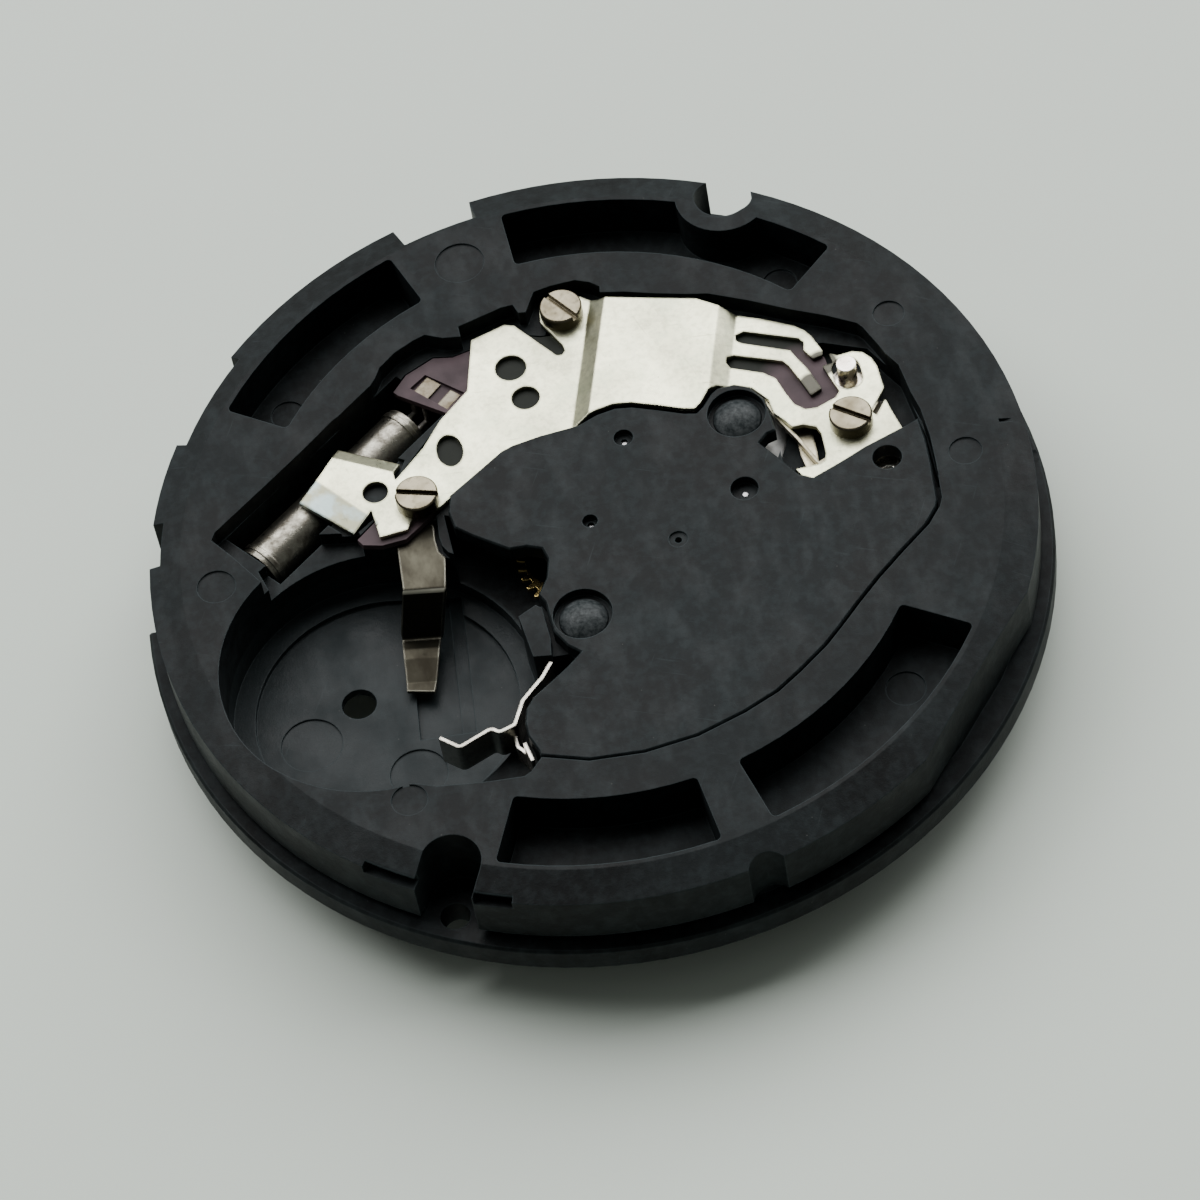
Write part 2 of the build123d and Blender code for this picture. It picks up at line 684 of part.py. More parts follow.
# The black train bridge that fills the cavity from 12 round to 8 o'clock
bridge_shares = [
    (1.060, 0.110), (0.930, 0.064), (0.807, 0.027), (0.740, 0.000), (0.640, -0.036), (0.605, -0.013),
    (0.562, 0.062), (0.522, 0.127), (0.550, 0.152), (0.577, 0.158), (0.576, 0.230), (0.572, 0.275),
    (0.540, 0.330), (0.500, 0.352), (0.450, 0.352), (0.428, 0.338), (0.395, 0.300), (0.373, 0.284),
    (0.339, 0.294), (0.270, 0.328), (0.201, 0.360), (0.152, 0.370), (0.097, 0.363), (0.039, 0.342),
    (-0.075, 0.338), (-0.158, 0.328), (-0.192, 0.317), (-0.251, 0.279), (-0.365, 0.207), (-0.382, 0.150),
    (-0.375, 0.092), (-0.330, 0.047), (-0.270, -0.003), (-0.240, -0.028), (-0.190, -0.033), (-0.150, -0.053),
    (-0.142, -0.093), (-0.160, -0.155), (-0.193, -0.205), (-0.180, -0.238), (-0.178, -0.340),
    (-0.150, -0.398), (-0.120, -0.430), (-0.165, -0.466), (-0.225, -0.506), (-0.278, -0.540),
    (-0.305, -0.573), (-0.318, -0.620),
    (-0.318, -0.663), (-0.300, -0.720), (-0.290, -0.860), (0.000, -0.960), (0.700, -0.820), (1.080, -0.300),
]
with BuildPart() as train_bridge:
    with BuildSketch(Plane.XY.offset(bridge_seat)):
        Polygon(*inset(cavity_outline, part_gap), align=None)
        Polygon(*spots(bridge_shares), align=None, mode=Mode.INTERSECT)
    extrude(amount=bridge_thickness)
    top_edges = train_bridge.faces().sort_by(Axis.Z)[-1].edges()
    chamfer(top_edges, bridge_edge)
    sinks = [(centre, centre_sink_radius, sink_depth), (third_place, sink_radius, sink_depth),
             (rotor_place, rotor_sink_radius, sink_depth + pivot_depth / 2),
             (step_place, dimple_radius, dimple_depth)]
    for place, radius, depth in sinks:
        with BuildSketch(Plane.XY.offset(bridge_top - depth)):
            with Locations(place):
                Circle(radius)
        extrude(amount=depth + edge_break, mode=Mode.SUBTRACT)
        with BuildSketch(Plane.XY.offset(bridge_seat - edge_break)):
            with Locations(place):
                Circle(pivot_radius + pivot_gap)
        extrude(amount=bridge_thickness + 2 * edge_break, mode=Mode.SUBTRACT)
    with BuildSketch(Plane.XY.offset(bridge_seat - edge_break)):
        with Locations(*rivet_places):
            Circle(rivet_bore_radius)
        with Locations(release_place):
            Circle(release_hole_radius)
    extrude(amount=bridge_thickness + 2 * edge_break, mode=Mode.SUBTRACT)
    with BuildSketch(Plane.XY.offset(bridge_top - rivet_sink_depth)):
        with Locations(*rivet_places):
            Circle(rivet_sink_radius)
    extrude(amount=rivet_sink_depth + edge_break, mode=Mode.SUBTRACT)
train_bridge.part.label = "train_bridge"
export_step(train_bridge.part, "parts/train_bridge.step")

# The sheet-metal maintaining plate: two low wings, a raised middle and the strap over the crystal can
flap_lines = [([(-0.723, 0.396), (-0.592, 0.242)], flap_reach),
              ([(-0.506, 0.356), (-0.667, 0.459)], flap_reach / 2)]
sheet_shares = [
    (-0.586, 0.142), (-0.505, 0.146), (-0.485, 0.180), (-0.398, 0.197), (-0.370, 0.217), (-0.256, 0.290),
    (-0.197, 0.327), (-0.160, 0.339), (-0.075, 0.349), (0.035, 0.354), (0.097, 0.375), (0.152, 0.382),
    (0.201, 0.372), (0.271, 0.340), (0.340, 0.306), (0.372, 0.296), (0.393, 0.312), (0.424, 0.352),
    (0.451, 0.368), (0.502, 0.368), (0.548, 0.346), (0.585, 0.290), (0.588, 0.240), (0.609, 0.209),
    (0.628, 0.176), (0.660, 0.174), (0.693, 0.156), (0.701, 0.129), (0.698, 0.060), (0.690, 0.033),
    (0.672, 0.025), (0.650, 0.026), (0.603, 0.027), (0.615, 0.000), (0.642, -0.020), (0.740, 0.014),
    (0.807, 0.041), (0.927, 0.077), (0.912, 0.150), (0.905, 0.195), (0.868, 0.145), (0.855, 0.164),
    (0.900, 0.220), (0.911, 0.236), (0.911, 0.316), (0.902, 0.349), (0.882, 0.376), (0.854, 0.388),
    (0.810, 0.386), (0.789, 0.402), (0.792, 0.364), (0.760, 0.362), (0.786, 0.260), (0.772, 0.242),
    (0.712, 0.222), (0.678, 0.226), (0.652, 0.252), (0.637, 0.298), (0.622, 0.358), (0.592, 0.388),
    (0.506, 0.433), (0.497, 0.450), (0.503, 0.468), (0.525, 0.476), (0.656, 0.413), (0.668, 0.392),
    (0.687, 0.334), (0.705, 0.270), (0.740, 0.285), (0.718, 0.364), (0.700, 0.404), (0.685, 0.444),
    (0.555, 0.512), (0.543, 0.525), (0.546, 0.545), (0.572, 0.552), (0.718, 0.480), (0.729, 0.462),
    (0.722, 0.434), (0.741, 0.396), (0.770, 0.402), (0.774, 0.416), (0.755, 0.476), (0.741, 0.502),
    (0.715, 0.529), (0.629, 0.582), (0.560, 0.616), (0.526, 0.635), (0.464, 0.683), (0.353, 0.720),
    (0.271, 0.748), (0.190, 0.776), (0.140, 0.822), (0.079, 0.838), (0.020, 0.812), (0.012, 0.760),
    (0.058, 0.660),
    (0.060, 0.638), (0.048, 0.626), (0.032, 0.630), (-0.064, 0.772), (-0.090, 0.784), (-0.195, 0.757),
    (-0.243, 0.580), (-0.339, 0.499), (-0.406, 0.416), (-0.506, 0.326), (-0.506, 0.356), (-0.667, 0.459),
    (-0.723, 0.396), (-0.592, 0.242),
]
sheet_hole_shares = [(-0.105, 0.624, 0.0455), (-0.085, 0.505, 0.041), (-0.569, 0.302, 0.037)]
oval_hole_share = (-0.334, 0.384)
oval_width, oval_length = 0.76, 1.14
post_slot_length = 1.15
fold_normal = Vector(sin(radians(fold_angle)), -cos(radians(fold_angle)))
fold_run = Vector(cos(radians(fold_angle)), sin(radians(fold_angle)))
flap_drop = sheet_seat - can_height - can_radius - flap_gap
with BuildPart() as maintaining_plate:
    with BuildSketch(Plane((0, 0, 0), x_dir=fold_normal, z_dir=-fold_run)):
        underside = [
            (-flange_radius, sheet_seat), (first_fold - fold_width / 2, sheet_seat),
            (first_fold + fold_width / 2, raised_seat), (second_fold - fold_width / 2, raised_seat),
            (second_fold + fold_width / 2, sheet_seat), (flange_radius, sheet_seat),
        ]
        Polygon(*underside, *[(x, z + sheet) for x, z in underside[::-1]], align=None)
    extrude(amount=flange_radius, both=True)
    with BuildSketch() as sheet_face:
        Polygon(*spots(sheet_shares), align=None)
        fillet(sheet_face.vertices(), sheet_corner)
    extrude(amount=plate_height + overrun, mode=Mode.INTERSECT)
    with BuildSketch():
        for x, y, radius in sheet_hole_shares:
            with Locations((cavity_size * x, cavity_size * y)):
                Circle(cavity_size * radius)
        with Locations(Location(spots([oval_hole_share])[0])):
            Ellipse(oval_width / 2, oval_length / 2)
        with Locations(*screw_places):
            Circle(screw_hole_radius)
        with Locations(Location((lever_post[0], lever_post[1] - lever_pivot_gap, 0), (0, 0, 1), 90)):
            SlotOverall(post_slot_length, 2 * (lever_post_radius + part_gap))
    extrude(amount=plate_height + overrun, mode=Mode.SUBTRACT)
    for shares, reach in flap_lines:
        start, stop = [Vector(*place) for place in spots(shares)]
        run = (stop - start).normalized()
        outward = Vector(run.Y, -run.X)
        with BuildSketch(Plane(start, x_dir=outward, z_dir=outward.cross(Vector(0, 0, 1)))):
            Polygon((-sheet, sheet_seat), (0, sheet_seat), (reach, sheet_seat - flap_drop),
                    (reach, sheet_seat - flap_drop + sheet), (0, sheet_top), (-sheet, sheet_top), align=None)
        extrude(amount=(stop - start).length, dir=run)
maintaining_plate.part.label = "maintaining_plate"
export_step(maintaining_plate.part, "parts/maintaining_plate.step")

# Three slotted screws, in one node, and the threaded inserts that they go into
with BuildPart() as plate_screws:
    with BuildSketch(Plane.XY.offset(sheet_top)):
        with Locations(*screw_places):
            Circle(screw_head_radius)
    extrude(amount=screw_head_height)
    chamfer(plate_screws.faces().filter_by(Axis.Z).group_by(Axis.Z)[-1].edges(), screw_edge)
    with BuildSketch(Plane.XY.offset(sheet_top)):
        with Locations(*screw_places):
            Circle(screw_shank_radius)
    extrude(amount=-screw_shank_length)
    with BuildSketch(Plane.XY.offset(sheet_top + screw_head_height - screw_slot_depth)):
        for place, turn in zip(screw_places, screw_turns):
            with Locations(Location(place, turn)):
                Rectangle(2 * screw_head_radius + screw_edge, screw_slot_width)
    extrude(amount=screw_slot_depth + edge_break, mode=Mode.SUBTRACT)
plate_screws.part.label = "plate_screws"
export_step(plate_screws.part, "parts/plate_screws.step")

with BuildPart() as threaded_inserts:
    with BuildSketch(Plane.XY.offset(insert_bottom + seat_gap)):
        with Locations(*screw_places):
            Circle(insert_radius)
            Circle(insert_bore, mode=Mode.SUBTRACT)
    extrude(amount=sheet_seat - insert_bottom - seat_gap)
threaded_inserts.part.label = "threaded_inserts"
export_step(threaded_inserts.part, "parts/threaded_inserts.step")

# Quartz crystal in its drawn can, with rolled ends, and its two leads up to the board
can_plane = Plane(can_start + (can_height,), x_dir=(0, 0, 1),
                  z_dir=(cos(radians(can_angle)), sin(radians(can_angle)), 0))
with BuildPart() as crystal_can:
    with BuildSketch(can_plane):
        Circle(can_radius)
    extrude(amount=can_length)
    for offset in (can_rim_width, can_length - 2 * can_rim_width):
        with BuildSketch(can_plane.offset(offset)):
            Circle(rim_radius)
        extrude(amount=can_rim_width)
crystal_can.part.label = "crystal_can"
export_step(crystal_can.part, "parts/crystal_can.step")

with BuildPart() as crystal_leads:
    lead_reach = can_length + lead_run
    for side in (-1, 1):
        with BuildSketch(can_plane.offset(can_length + seat_gap)):
            with Locations((0, side * lead_pitch / 2)):
                Circle(lead_radius)
        extrude(amount=lead_run)
        foot = around(lead_reach, can_angle, can_start)
        across = around(side * lead_pitch / 2, can_angle + 90)
        with BuildSketch(Plane.XY.offset(can_height)):
            with Locations((foot[0] + across[0], foot[1] + across[1])):
                Circle(lead_radius)
        extrude(amount=board_seat - can_height - seat_gap)
crystal_leads.part.label = "crystal_leads"
export_step(crystal_leads.part, "parts/crystal_leads.step")

# Circuit board with its shallow window, the bare pads in it and the moulded chip
window_shares = [(-0.401, 0.650), (-0.349, 0.685), (-0.252, 0.588), (-0.311, 0.543)]
pad_shares = [(-0.352, 0.640, 0.062, 0.050), (-0.300, 0.580, 0.062, 0.036)]
pad_angle = 40.0
chip_share = (0.245, 0.560)
with BuildPart() as circuit_board:
    with BuildSketch(Plane.XY.offset(board_seat)):
        Polygon(*board_outline, align=None)
        with Locations(*screw_places):
            Circle(insert_radius + board_gap, mode=Mode.SUBTRACT)
    extrude(amount=board_thickness)
    with BuildSketch(Plane.XY.offset(board_top - window_depth)):
        Polygon(*spots(window_shares), align=None)
    extrude(amount=window_depth + edge_break, mode=Mode.SUBTRACT)
circuit_board.part.label = "circuit_board"
export_step(circuit_board.part, "parts/circuit_board.step")

with BuildPart() as board_pads:
    with BuildSketch(Plane.XY.offset(board_top - window_depth)) as pads:
        for x, y, long, wide in pad_shares:
            with Locations(Location((cavity_size * x, cavity_size * y), pad_angle)):
                Rectangle(cavity_size * long, cavity_size * wide)
    extrude(amount=pad_thickness)
board_pads.part.label = "board_pads"
export_step(board_pads.part, "parts/board_pads.step")

with BuildPart() as chip:
    with BuildSketch(Plane.XY.offset(board_top)):
        with Locations(Location(spots([chip_share])[0], coil_angle)):
            Rectangle(chip_side, chip_side)
    extrude(amount=chip_height)
    chamfer(chip.edges().filter_by(Axis.Z), chip_crown)
    chamfer(chip.faces().sort_by(Axis.Z)[-1].edges(), chip_crown)
chip.part.label = "chip"
export_step(chip.part, "parts/chip.step")

# Contact strip under the cell: a flat arm, a steep drop into the well and a bowed tongue in the trough
tongue_shares = [(-0.593, -0.075), (-0.606, -0.189), (-0.615, -0.257), (-0.539, -0.282), (-0.505, -0.180),
                 (-0.486, -0.107)]
right_corner, left_corner = [Vector(*place) for place in spots(arm_shares)[-2:]]
fold_middle = (right_corner + left_corner) / 2
fold_edge = (right_corner - left_corner).normalized()
strip_line = [
    (-flange_radius, strip_top), (0, strip_top), (strip_drop_run, strip_low),
    (strip_drop_run + 0.24 * tongue_length, strip_low + tongue_bow),
    (strip_drop_run + 0.40 * tongue_length, strip_low + tongue_bow),
    (strip_drop_run + 0.78 * tongue_length, strip_low - tongue_bow / 2),
    (strip_drop_run + tongue_length, strip_low),
]
with BuildPart() as negative_contact:
    with BuildSketch(Plane(fold_middle, x_dir=(fold_edge.Y, -fold_edge.X, 0), z_dir=-fold_edge)):
        with BuildLine():
            FilletPolyline(*[(x, z - strip_thickness / 2) for x, z in strip_line], radius=strip_bend_radius)
        trace(line_width=strip_thickness)
    extrude(amount=flange_radius, both=True)
    with BuildSketch():
        Polygon(*spots(arm_shares[:-1] + tongue_shares[::-1] + arm_shares[-1:]), align=None)
    extrude(amount=plate_height, mode=Mode.INTERSECT)
negative_contact.part.label = "negative_contact"
export_step(negative_contact.part, "parts/negative_contact.step")

# Leaf spring on edge that touches the side of the cell, with its anchor tail
leaf_shares = [(-0.556, -0.580), (-0.508, -0.626), (-0.411, -0.590), (-0.393, -0.609), (-0.346, -0.597),
               (-0.308, -0.524), (-0.240, -0.464), (-0.206, -0.421)]
link_shares = [(-0.352, -0.590), (-0.352, -0.640), (-0.331, -0.671)]
tail_shares = [(-0.332, -0.665), (-0.322, -0.728)]
with BuildPart() as positive_contact:
    with BuildSketch(Plane.XY.offset(spring_bottom)):
        with BuildLine():
            FilletPolyline(*spots(leaf_shares), radius=leaf_bend_radius)
        trace(line_width=spring_thickness)
        Polygon(*strip_outline(spots(tail_shares), spring_thickness), align=None)
    extrude(amount=spring_top - spring_bottom)
    with BuildSketch(Plane.XY.offset(spring_bottom)):
        Polygon(*strip_outline(spots(link_shares), spring_thickness), align=None)
    extrude(amount=spring_top - spring_bottom - link_drop)
positive_contact.part.label = "positive_contact"
export_step(positive_contact.part, "parts/positive_contact.step")

# Step motor: soft-iron stator, coil core with its lugs, coil former and winding
with BuildPart() as stator:
    with BuildSketch(Plane.XY.offset(stator_bottom)):
        for line in (stator_left, stator_right):
            Polygon(*strip_outline(line, stator_arm_width), align=None)
        with Locations(rotor_place):
            Circle(stator_radius)
            Circle(stator_hole, mode=Mode.SUBTRACT)
    extrude(amount=stator_thickness)
stator.part.label = "stator"
export_step(stator.part, "parts/stator.step")

coil_frame = Plane(coil_place + (coil_height,), x_dir=(0, 0, 1),
                   z_dir=(cos(radians(coil_angle)), sin(radians(coil_angle)), 0))
with BuildPart() as coil_core:
    with BuildSketch(coil_frame):
        Circle(core_radius)
    extrude(amount=core_reach, both=True)
    with BuildSketch(Plane.XY.offset(coil_height - core_radius)):
        for place in (left_end, right_end):
            with Locations(Location(place, coil_angle)):
                Rectangle(lug_width, lug_width)
    extrude(amount=stator_top - coil_height + core_radius, mode=Mode.SUBTRACT)
    with BuildSketch(Plane.XY.offset(stator_top)):
        for place in (left_end, right_end):
            with Locations(Location(place, coil_angle)):
                Rectangle(lug_width, lug_width)
    extrude(amount=lug_thickness)
coil_core.part.label = "coil_core"
export_step(coil_core.part, "parts/coil_core.step")

with BuildPart() as coil_former:
    with BuildSketch(coil_frame):
        Circle(core_radius + seat_gap + coil_sleeve)
        Circle(core_radius + seat_gap, mode=Mode.SUBTRACT)
    extrude(amount=coil_length / 2 + cheek_width, both=True)
    for side in (-1, 1):
        with BuildSketch(coil_frame.offset(side * (coil_length / 2 + cheek_width / 2))):
            Circle(cheek_radius)
            Circle(core_radius + seat_gap, mode=Mode.SUBTRACT)
        extrude(amount=cheek_width / 2, both=True)
coil_former.part.label = "coil_former"
export_step(coil_former.part, "parts/coil_former.step")

with BuildPart() as coil_winding:
    with BuildSketch(coil_frame):
        Circle(coil_radius)
        Circle(core_radius + coil_sleeve + 2 * seat_gap, mode=Mode.SUBTRACT)
    extrude(amount=coil_length / 2 - seat_gap, both=True)
coil_winding.part.label = "coil_winding"
export_step(coil_winding.part, "parts/coil_winding.step")


def turned(steps, place):
    """Add turned lengths to the part being built: radius, bottom and top of each."""
    for radius, bottom, top in steps:
        with Locations((place[0], place[1], bottom)):
            Cylinder(radius, top - bottom, align=(Align.CENTER, Align.CENTER, Align.MIN))


def tapered(seat_radius, body_radius, seat_end, place):
    """Add the taper between a hand's seat and the body of its pipe or arbor."""
    with Locations((place[0], place[1], seat_end)):
        Cone(seat_radius, body_radius, seat_taper, align=(Align.CENTER, Align.CENTER, Align.MIN))


def toothed(teeth, module, place, bottom, height, aim, gap_at_aim=False):
    """Add a toothed wheel or a set of leaves to the part being built."""
    with BuildSketch(Plane((place[0], place[1], bottom))) as wheel_face:
        Polygon(*tooth_outline(teeth, module, aim, gap_at_aim), align=None)
    extrude(wheel_face.sketch, amount=height)


def windows(place, rim, hub, bottom, height):
    """Cut four round windows in the wheel being built, between its hub and its rim."""
    middle = (rim + hub) / 2
    with BuildSketch(Plane((place[0], place[1], bottom - edge_break))) as holes:
        with PolarLocations(middle, 4):
            Circle((rim - hub) * window_share)
    extrude(holes.sketch, amount=height + 2 * edge_break, mode=Mode.SUBTRACT)


def bored(place, radius, bottom, top):
    """Cut a round bore through the part being built."""
    with BuildSketch(Plane((place[0], place[1], bottom - edge_break))) as bore:
        Circle(radius)
    extrude(bore.sketch, amount=top - bottom + 2 * edge_break, mode=Mode.SUBTRACT)


# The wheels of the train, each a brass wheel on a steel arbor with leaves
collar_top = bridge_seat - end_shake
pivot_top = bridge_seat + pivot_depth
leaf_drop = (leaf_height - wheel_thickness) / 2
wheel_bore = collar_radius + seat_gap / 2
with BuildPart() as rotor_magnet:
    turned([(magnet_radius, magnet_bottom, magnet_top)], rotor_place)
    bored(rotor_place, wheel_bore, magnet_bottom, magnet_top)
rotor_magnet.part.label = "rotor_magnet"
export_step(rotor_magnet.part, "parts/rotor_magnet.step")

with BuildPart() as rotor_arbor:
    turned([(pivot_radius, web_top - pivot_depth + pivot_gap, pivot_top),
            (collar_radius, magnet_bottom - end_shake, collar_top)], rotor_place)
    toothed(leaf_count, module_step, rotor_place, step_level - leaf_drop, leaf_height, rotor_angle + 180,
            gap_at_aim=True)
rotor_arbor.part.label = "rotor_arbor"
export_step(rotor_arbor.part, "parts/rotor_arbor.step")

with BuildPart() as step_wheel:
    toothed(step_teeth, module_step, step_place, step_level, wheel_thickness, rotor_angle)
    bored(step_place, wheel_bore, step_level, step_level + wheel_thickness)
    windows(step_place, module_step * step_teeth / 2, wheel_bore, step_level, wheel_thickness)
step_wheel.part.label = "step_wheel"
export_step(step_wheel.part, "parts/step_wheel.step")

with BuildPart() as step_arbor:
    turned([(pivot_radius, web_top - pivot_depth + pivot_gap, pivot_top),
            (collar_radius, web_top + end_shake, collar_top)], step_place)
    toothed(leaf_count, module_seconds, step_place, second_level - leaf_drop, leaf_height, step_angle + 180)
step_arbor.part.label = "step_arbor"
export_step(step_arbor.part, "parts/step_arbor.step")

with BuildPart() as second_wheel:
    toothed(seconds_teeth, module_seconds, centre, second_level, wheel_thickness, step_angle, True)
    bored(centre, wheel_bore, second_level, second_level + wheel_thickness)
    windows(centre, module_seconds * seconds_teeth / 2, wheel_bore, second_level, wheel_thickness)
second_wheel.part.label = "second_wheel"
export_step(second_wheel.part, "parts/second_wheel.step")

shoulder_top = web_top + wheel_thickness
seconds_seat_end = seconds_arbor_tip + seconds_seat_length
with BuildPart() as second_arbor:
    turned([(seconds_arbor_radius, seconds_arbor_tip, seconds_seat_end),
            (seconds_body_radius, seconds_seat_end + seat_taper, collar_top),
            (pivot_radius, seconds_seat_end + seat_taper, pivot_top),
            (collar_radius, shoulder_top + end_shake, collar_top)], centre)
    tapered(seconds_arbor_radius, seconds_body_radius, seconds_seat_end, centre)
    toothed(leaf_count, module_third, centre, third_level - leaf_drop, leaf_height, third_angle, True)
second_arbor.part.label = "second_arbor"
export_step(second_arbor.part, "parts/second_arbor.step")

with BuildPart() as third_wheel:
    toothed(third_teeth, module_third, third_place, third_level, wheel_thickness, third_angle + 180)
    bored(third_place, wheel_bore, third_level, third_level + wheel_thickness)
    windows(third_place, module_third * third_teeth / 2, wheel_bore, third_level, wheel_thickness)
third_wheel.part.label = "third_wheel"
export_step(third_wheel.part, "parts/third_wheel.step")

drive_leaf_bottom = drive_level - leaf_drop
with BuildPart() as third_arbor:
    turned([(pivot_radius, keeper_bottom + seat_gap, pivot_top),
            (collar_radius, drive_leaf_bottom, collar_top)], third_place)
    toothed(leaf_count, module_drive, third_place, drive_leaf_bottom, leaf_height, third_angle + 180)
third_arbor.part.label = "third_arbor"
export_step(third_arbor.part, "parts/third_arbor.step")

# Centre tube, driving wheel with cannon pinion, minute wheel and hour wheel
with BuildPart() as centre_tube:
    turned([(centre_tube_radius, centre_tube_tip, shoulder_top),
            (centre_tube_shoulder, web_top, shoulder_top)], centre)
    bored(centre, centre_tube_bore, centre_tube_tip, shoulder_top)
centre_tube.part.label = "centre_tube"
export_step(centre_tube.part, "parts/centre_tube.step")

cannon_top = drive_level + wheel_thickness
with BuildPart() as driving_wheel:
    toothed(drive_teeth, module_drive, centre, drive_level, wheel_thickness, third_angle, True)
    bored(centre, cannon_radius + seat_gap / 2, drive_level, cannon_top)
    windows(centre, module_drive * drive_teeth / 2, cannon_radius, drive_level, wheel_thickness)
driving_wheel.part.label = "driving_wheel"
export_step(driving_wheel.part, "parts/driving_wheel.step")

minute_seat_end = cannon_tip + minute_seat_length
with BuildPart() as cannon_pinion:
    turned([(minute_seat_radius, cannon_tip, minute_seat_end),
            (cannon_radius, minute_seat_end + seat_taper, cannon_top)], centre)
    tapered(minute_seat_radius, cannon_radius, minute_seat_end, centre)
    toothed(cannon_teeth, module_hour_train, centre, setting_level, drive_level - setting_level,
            minute_angle)
    bored(centre, cannon_bore, cannon_tip, cannon_top)
cannon_pinion.part.label = "cannon_pinion"
export_step(cannon_pinion.part, "parts/cannon_pinion.step")

minute_leaf_bottom = hour_level - seat_gap / 2
with BuildPart() as minute_wheel:
    toothed(minute_teeth, module_hour_train, minute_place, minute_level, wheel_thickness - seat_gap,
            minute_angle + 180, True)
    toothed(minute_leaves, module_hour, minute_place, minute_leaf_bottom,
            minute_level - minute_leaf_bottom, minute_angle + 180)
    bored(minute_place, wheel_post_radius + pivot_gap, minute_leaf_bottom, minute_level + wheel_thickness)
minute_wheel.part.label = "minute_wheel"
export_step(minute_wheel.part, "parts/minute_wheel.step")

with BuildPart() as hour_wheel:
    toothed(hour_teeth, module_hour, centre, hour_level, wheel_thickness, minute_angle, True)
    turned([(hour_radius, hour_tip, hour_level + wheel_thickness)], centre)
    bored(centre, hour_bore, hour_tip, hour_level + wheel_thickness)
hour_wheel.part.label = "hour_wheel"
export_step(hour_wheel.part, "parts/hour_wheel.step")

setting_mesh_angle = degrees(atan2(minute_place[1] - setting_place[1], minute_place[0] - setting_place[0]))
minute_step = 360 / minute_teeth
minute_first = minute_angle + 180 + minute_step / 2
minute_turn = ((setting_mesh_angle + 180 - minute_first) % minute_step) / minute_step
setting_aim = setting_mesh_angle + (0.5 + minute_turn) * 360 / setting_teeth
hub_bottom = keeper_bottom + keeper_thickness + end_shake
with BuildPart() as setting_wheel:
    toothed(setting_teeth, module_hour_train, setting_place, setting_level, wheel_thickness, setting_aim)
    turned([(2 * wheel_post_radius, hub_bottom, setting_level + wheel_thickness)], setting_place)
    bored(setting_place, wheel_post_radius + pivot_gap, hub_bottom, setting_level + wheel_thickness)
setting_wheel.part.label = "setting_wheel"
export_step(setting_wheel.part, "parts/setting_wheel.step")

# Keyless works: setting lever on its post, yoke, clutch pinion and yoke spring
lever_shares = [(0.862, 0.300), (0.895, 0.220), (0.905, 0.120), (0.905, -0.020), (0.895, -0.075),
                (0.835, -0.080), (0.815, -0.045), (0.820, 0.020), (0.847, 0.070), (0.847, 0.190),
                (0.790, 0.290)]
with BuildPart() as setting_lever:
    with BuildSketch(Plane.XY.offset(lever_level)):
        Polygon(*spots(lever_shares), align=None)
        with Locations(lever_post):
            Circle(2 * lever_post_radius - edge_break)
    extrude(amount=lever_thickness)
    turned([(lever_post_radius, web_top + end_shake, lever_post_top)], lever_post)
    with Locations(release_place + (lever_level + lever_thickness,)):
        CounterSinkHole(pivot_radius, release_hole_radius / 2, lever_thickness / 2)
setting_lever.part.label = "setting_lever"
export_step(setting_lever.part, "parts/setting_lever.step")

groove_middle = clutch_start + clutch_length / 2
prong_half = clutch_groove_width / 2 - yoke_clearance
prong_bottom = stem_height + clutch_groove_radius + yoke_clearance
yoke_side = yoke_pivot_radius + 2 * prong_half - edge_break
with BuildPart() as yoke:
    with BuildSketch(Plane.XY.offset(lever_level)):
        Polygon((groove_middle - prong_half, -prong_half), (groove_middle + prong_half, -prong_half),
                (groove_middle + 2 * prong_half, clutch_radius + yoke_side),
                (yoke_pivot[0] + yoke_pivot_radius, yoke_pivot[1]),
                (yoke_pivot[0] - yoke_pivot_radius, yoke_pivot[1]),
                (groove_middle - 2 * prong_half, clutch_radius + yoke_side), align=None)
        with Locations(yoke_pivot):
            Circle(yoke_side)
    extrude(amount=lever_thickness)
    turned([(yoke_pivot_radius, web_top + end_shake, lever_level + lever_thickness)], yoke_pivot)
    with BuildSketch(Plane.XY.offset(prong_bottom)):
        with Locations((groove_middle, 0)):
            Rectangle(2 * prong_half, 2 * prong_half)
    extrude(amount=lever_level - prong_bottom + edge_break)
yoke.part.label = "yoke"
export_step(yoke.part, "parts/yoke.step")

with BuildPart() as clutch_pinion:
    with BuildSketch(Plane.YZ.offset(clutch_start)):
        with Locations((0, stem_height)):
            Circle(clutch_radius)
    extrude(amount=clutch_length)
    with BuildSketch(Plane.YZ.offset(groove_middle - clutch_groove_width / 2)):
        with Locations((0, stem_height)):
            Circle(clutch_radius + edge_break)
            Circle(clutch_groove_radius, mode=Mode.SUBTRACT)
    extrude(amount=clutch_groove_width, mode=Mode.SUBTRACT)
    with BuildSketch(Plane.YZ.offset(clutch_start - edge_break)):
        with Locations((0, stem_height)):
            with PolarLocations(clutch_radius, clutch_teeth):
                Rectangle(clutch_radius / 2, pi * clutch_radius / clutch_teeth)
    extrude(amount=clutch_tooth_depth + edge_break, mode=Mode.SUBTRACT)
    with BuildSketch(Plane.YZ.offset(clutch_start - edge_break)):
        with Locations((0, stem_height)):
            Rectangle(2 * clutch_bore, 2 * clutch_bore)
    extrude(amount=clutch_length + 2 * edge_break, mode=Mode.SUBTRACT)
clutch_pinion.part.label = "clutch_pinion"
export_step(clutch_pinion.part, "parts/clutch_pinion.step")

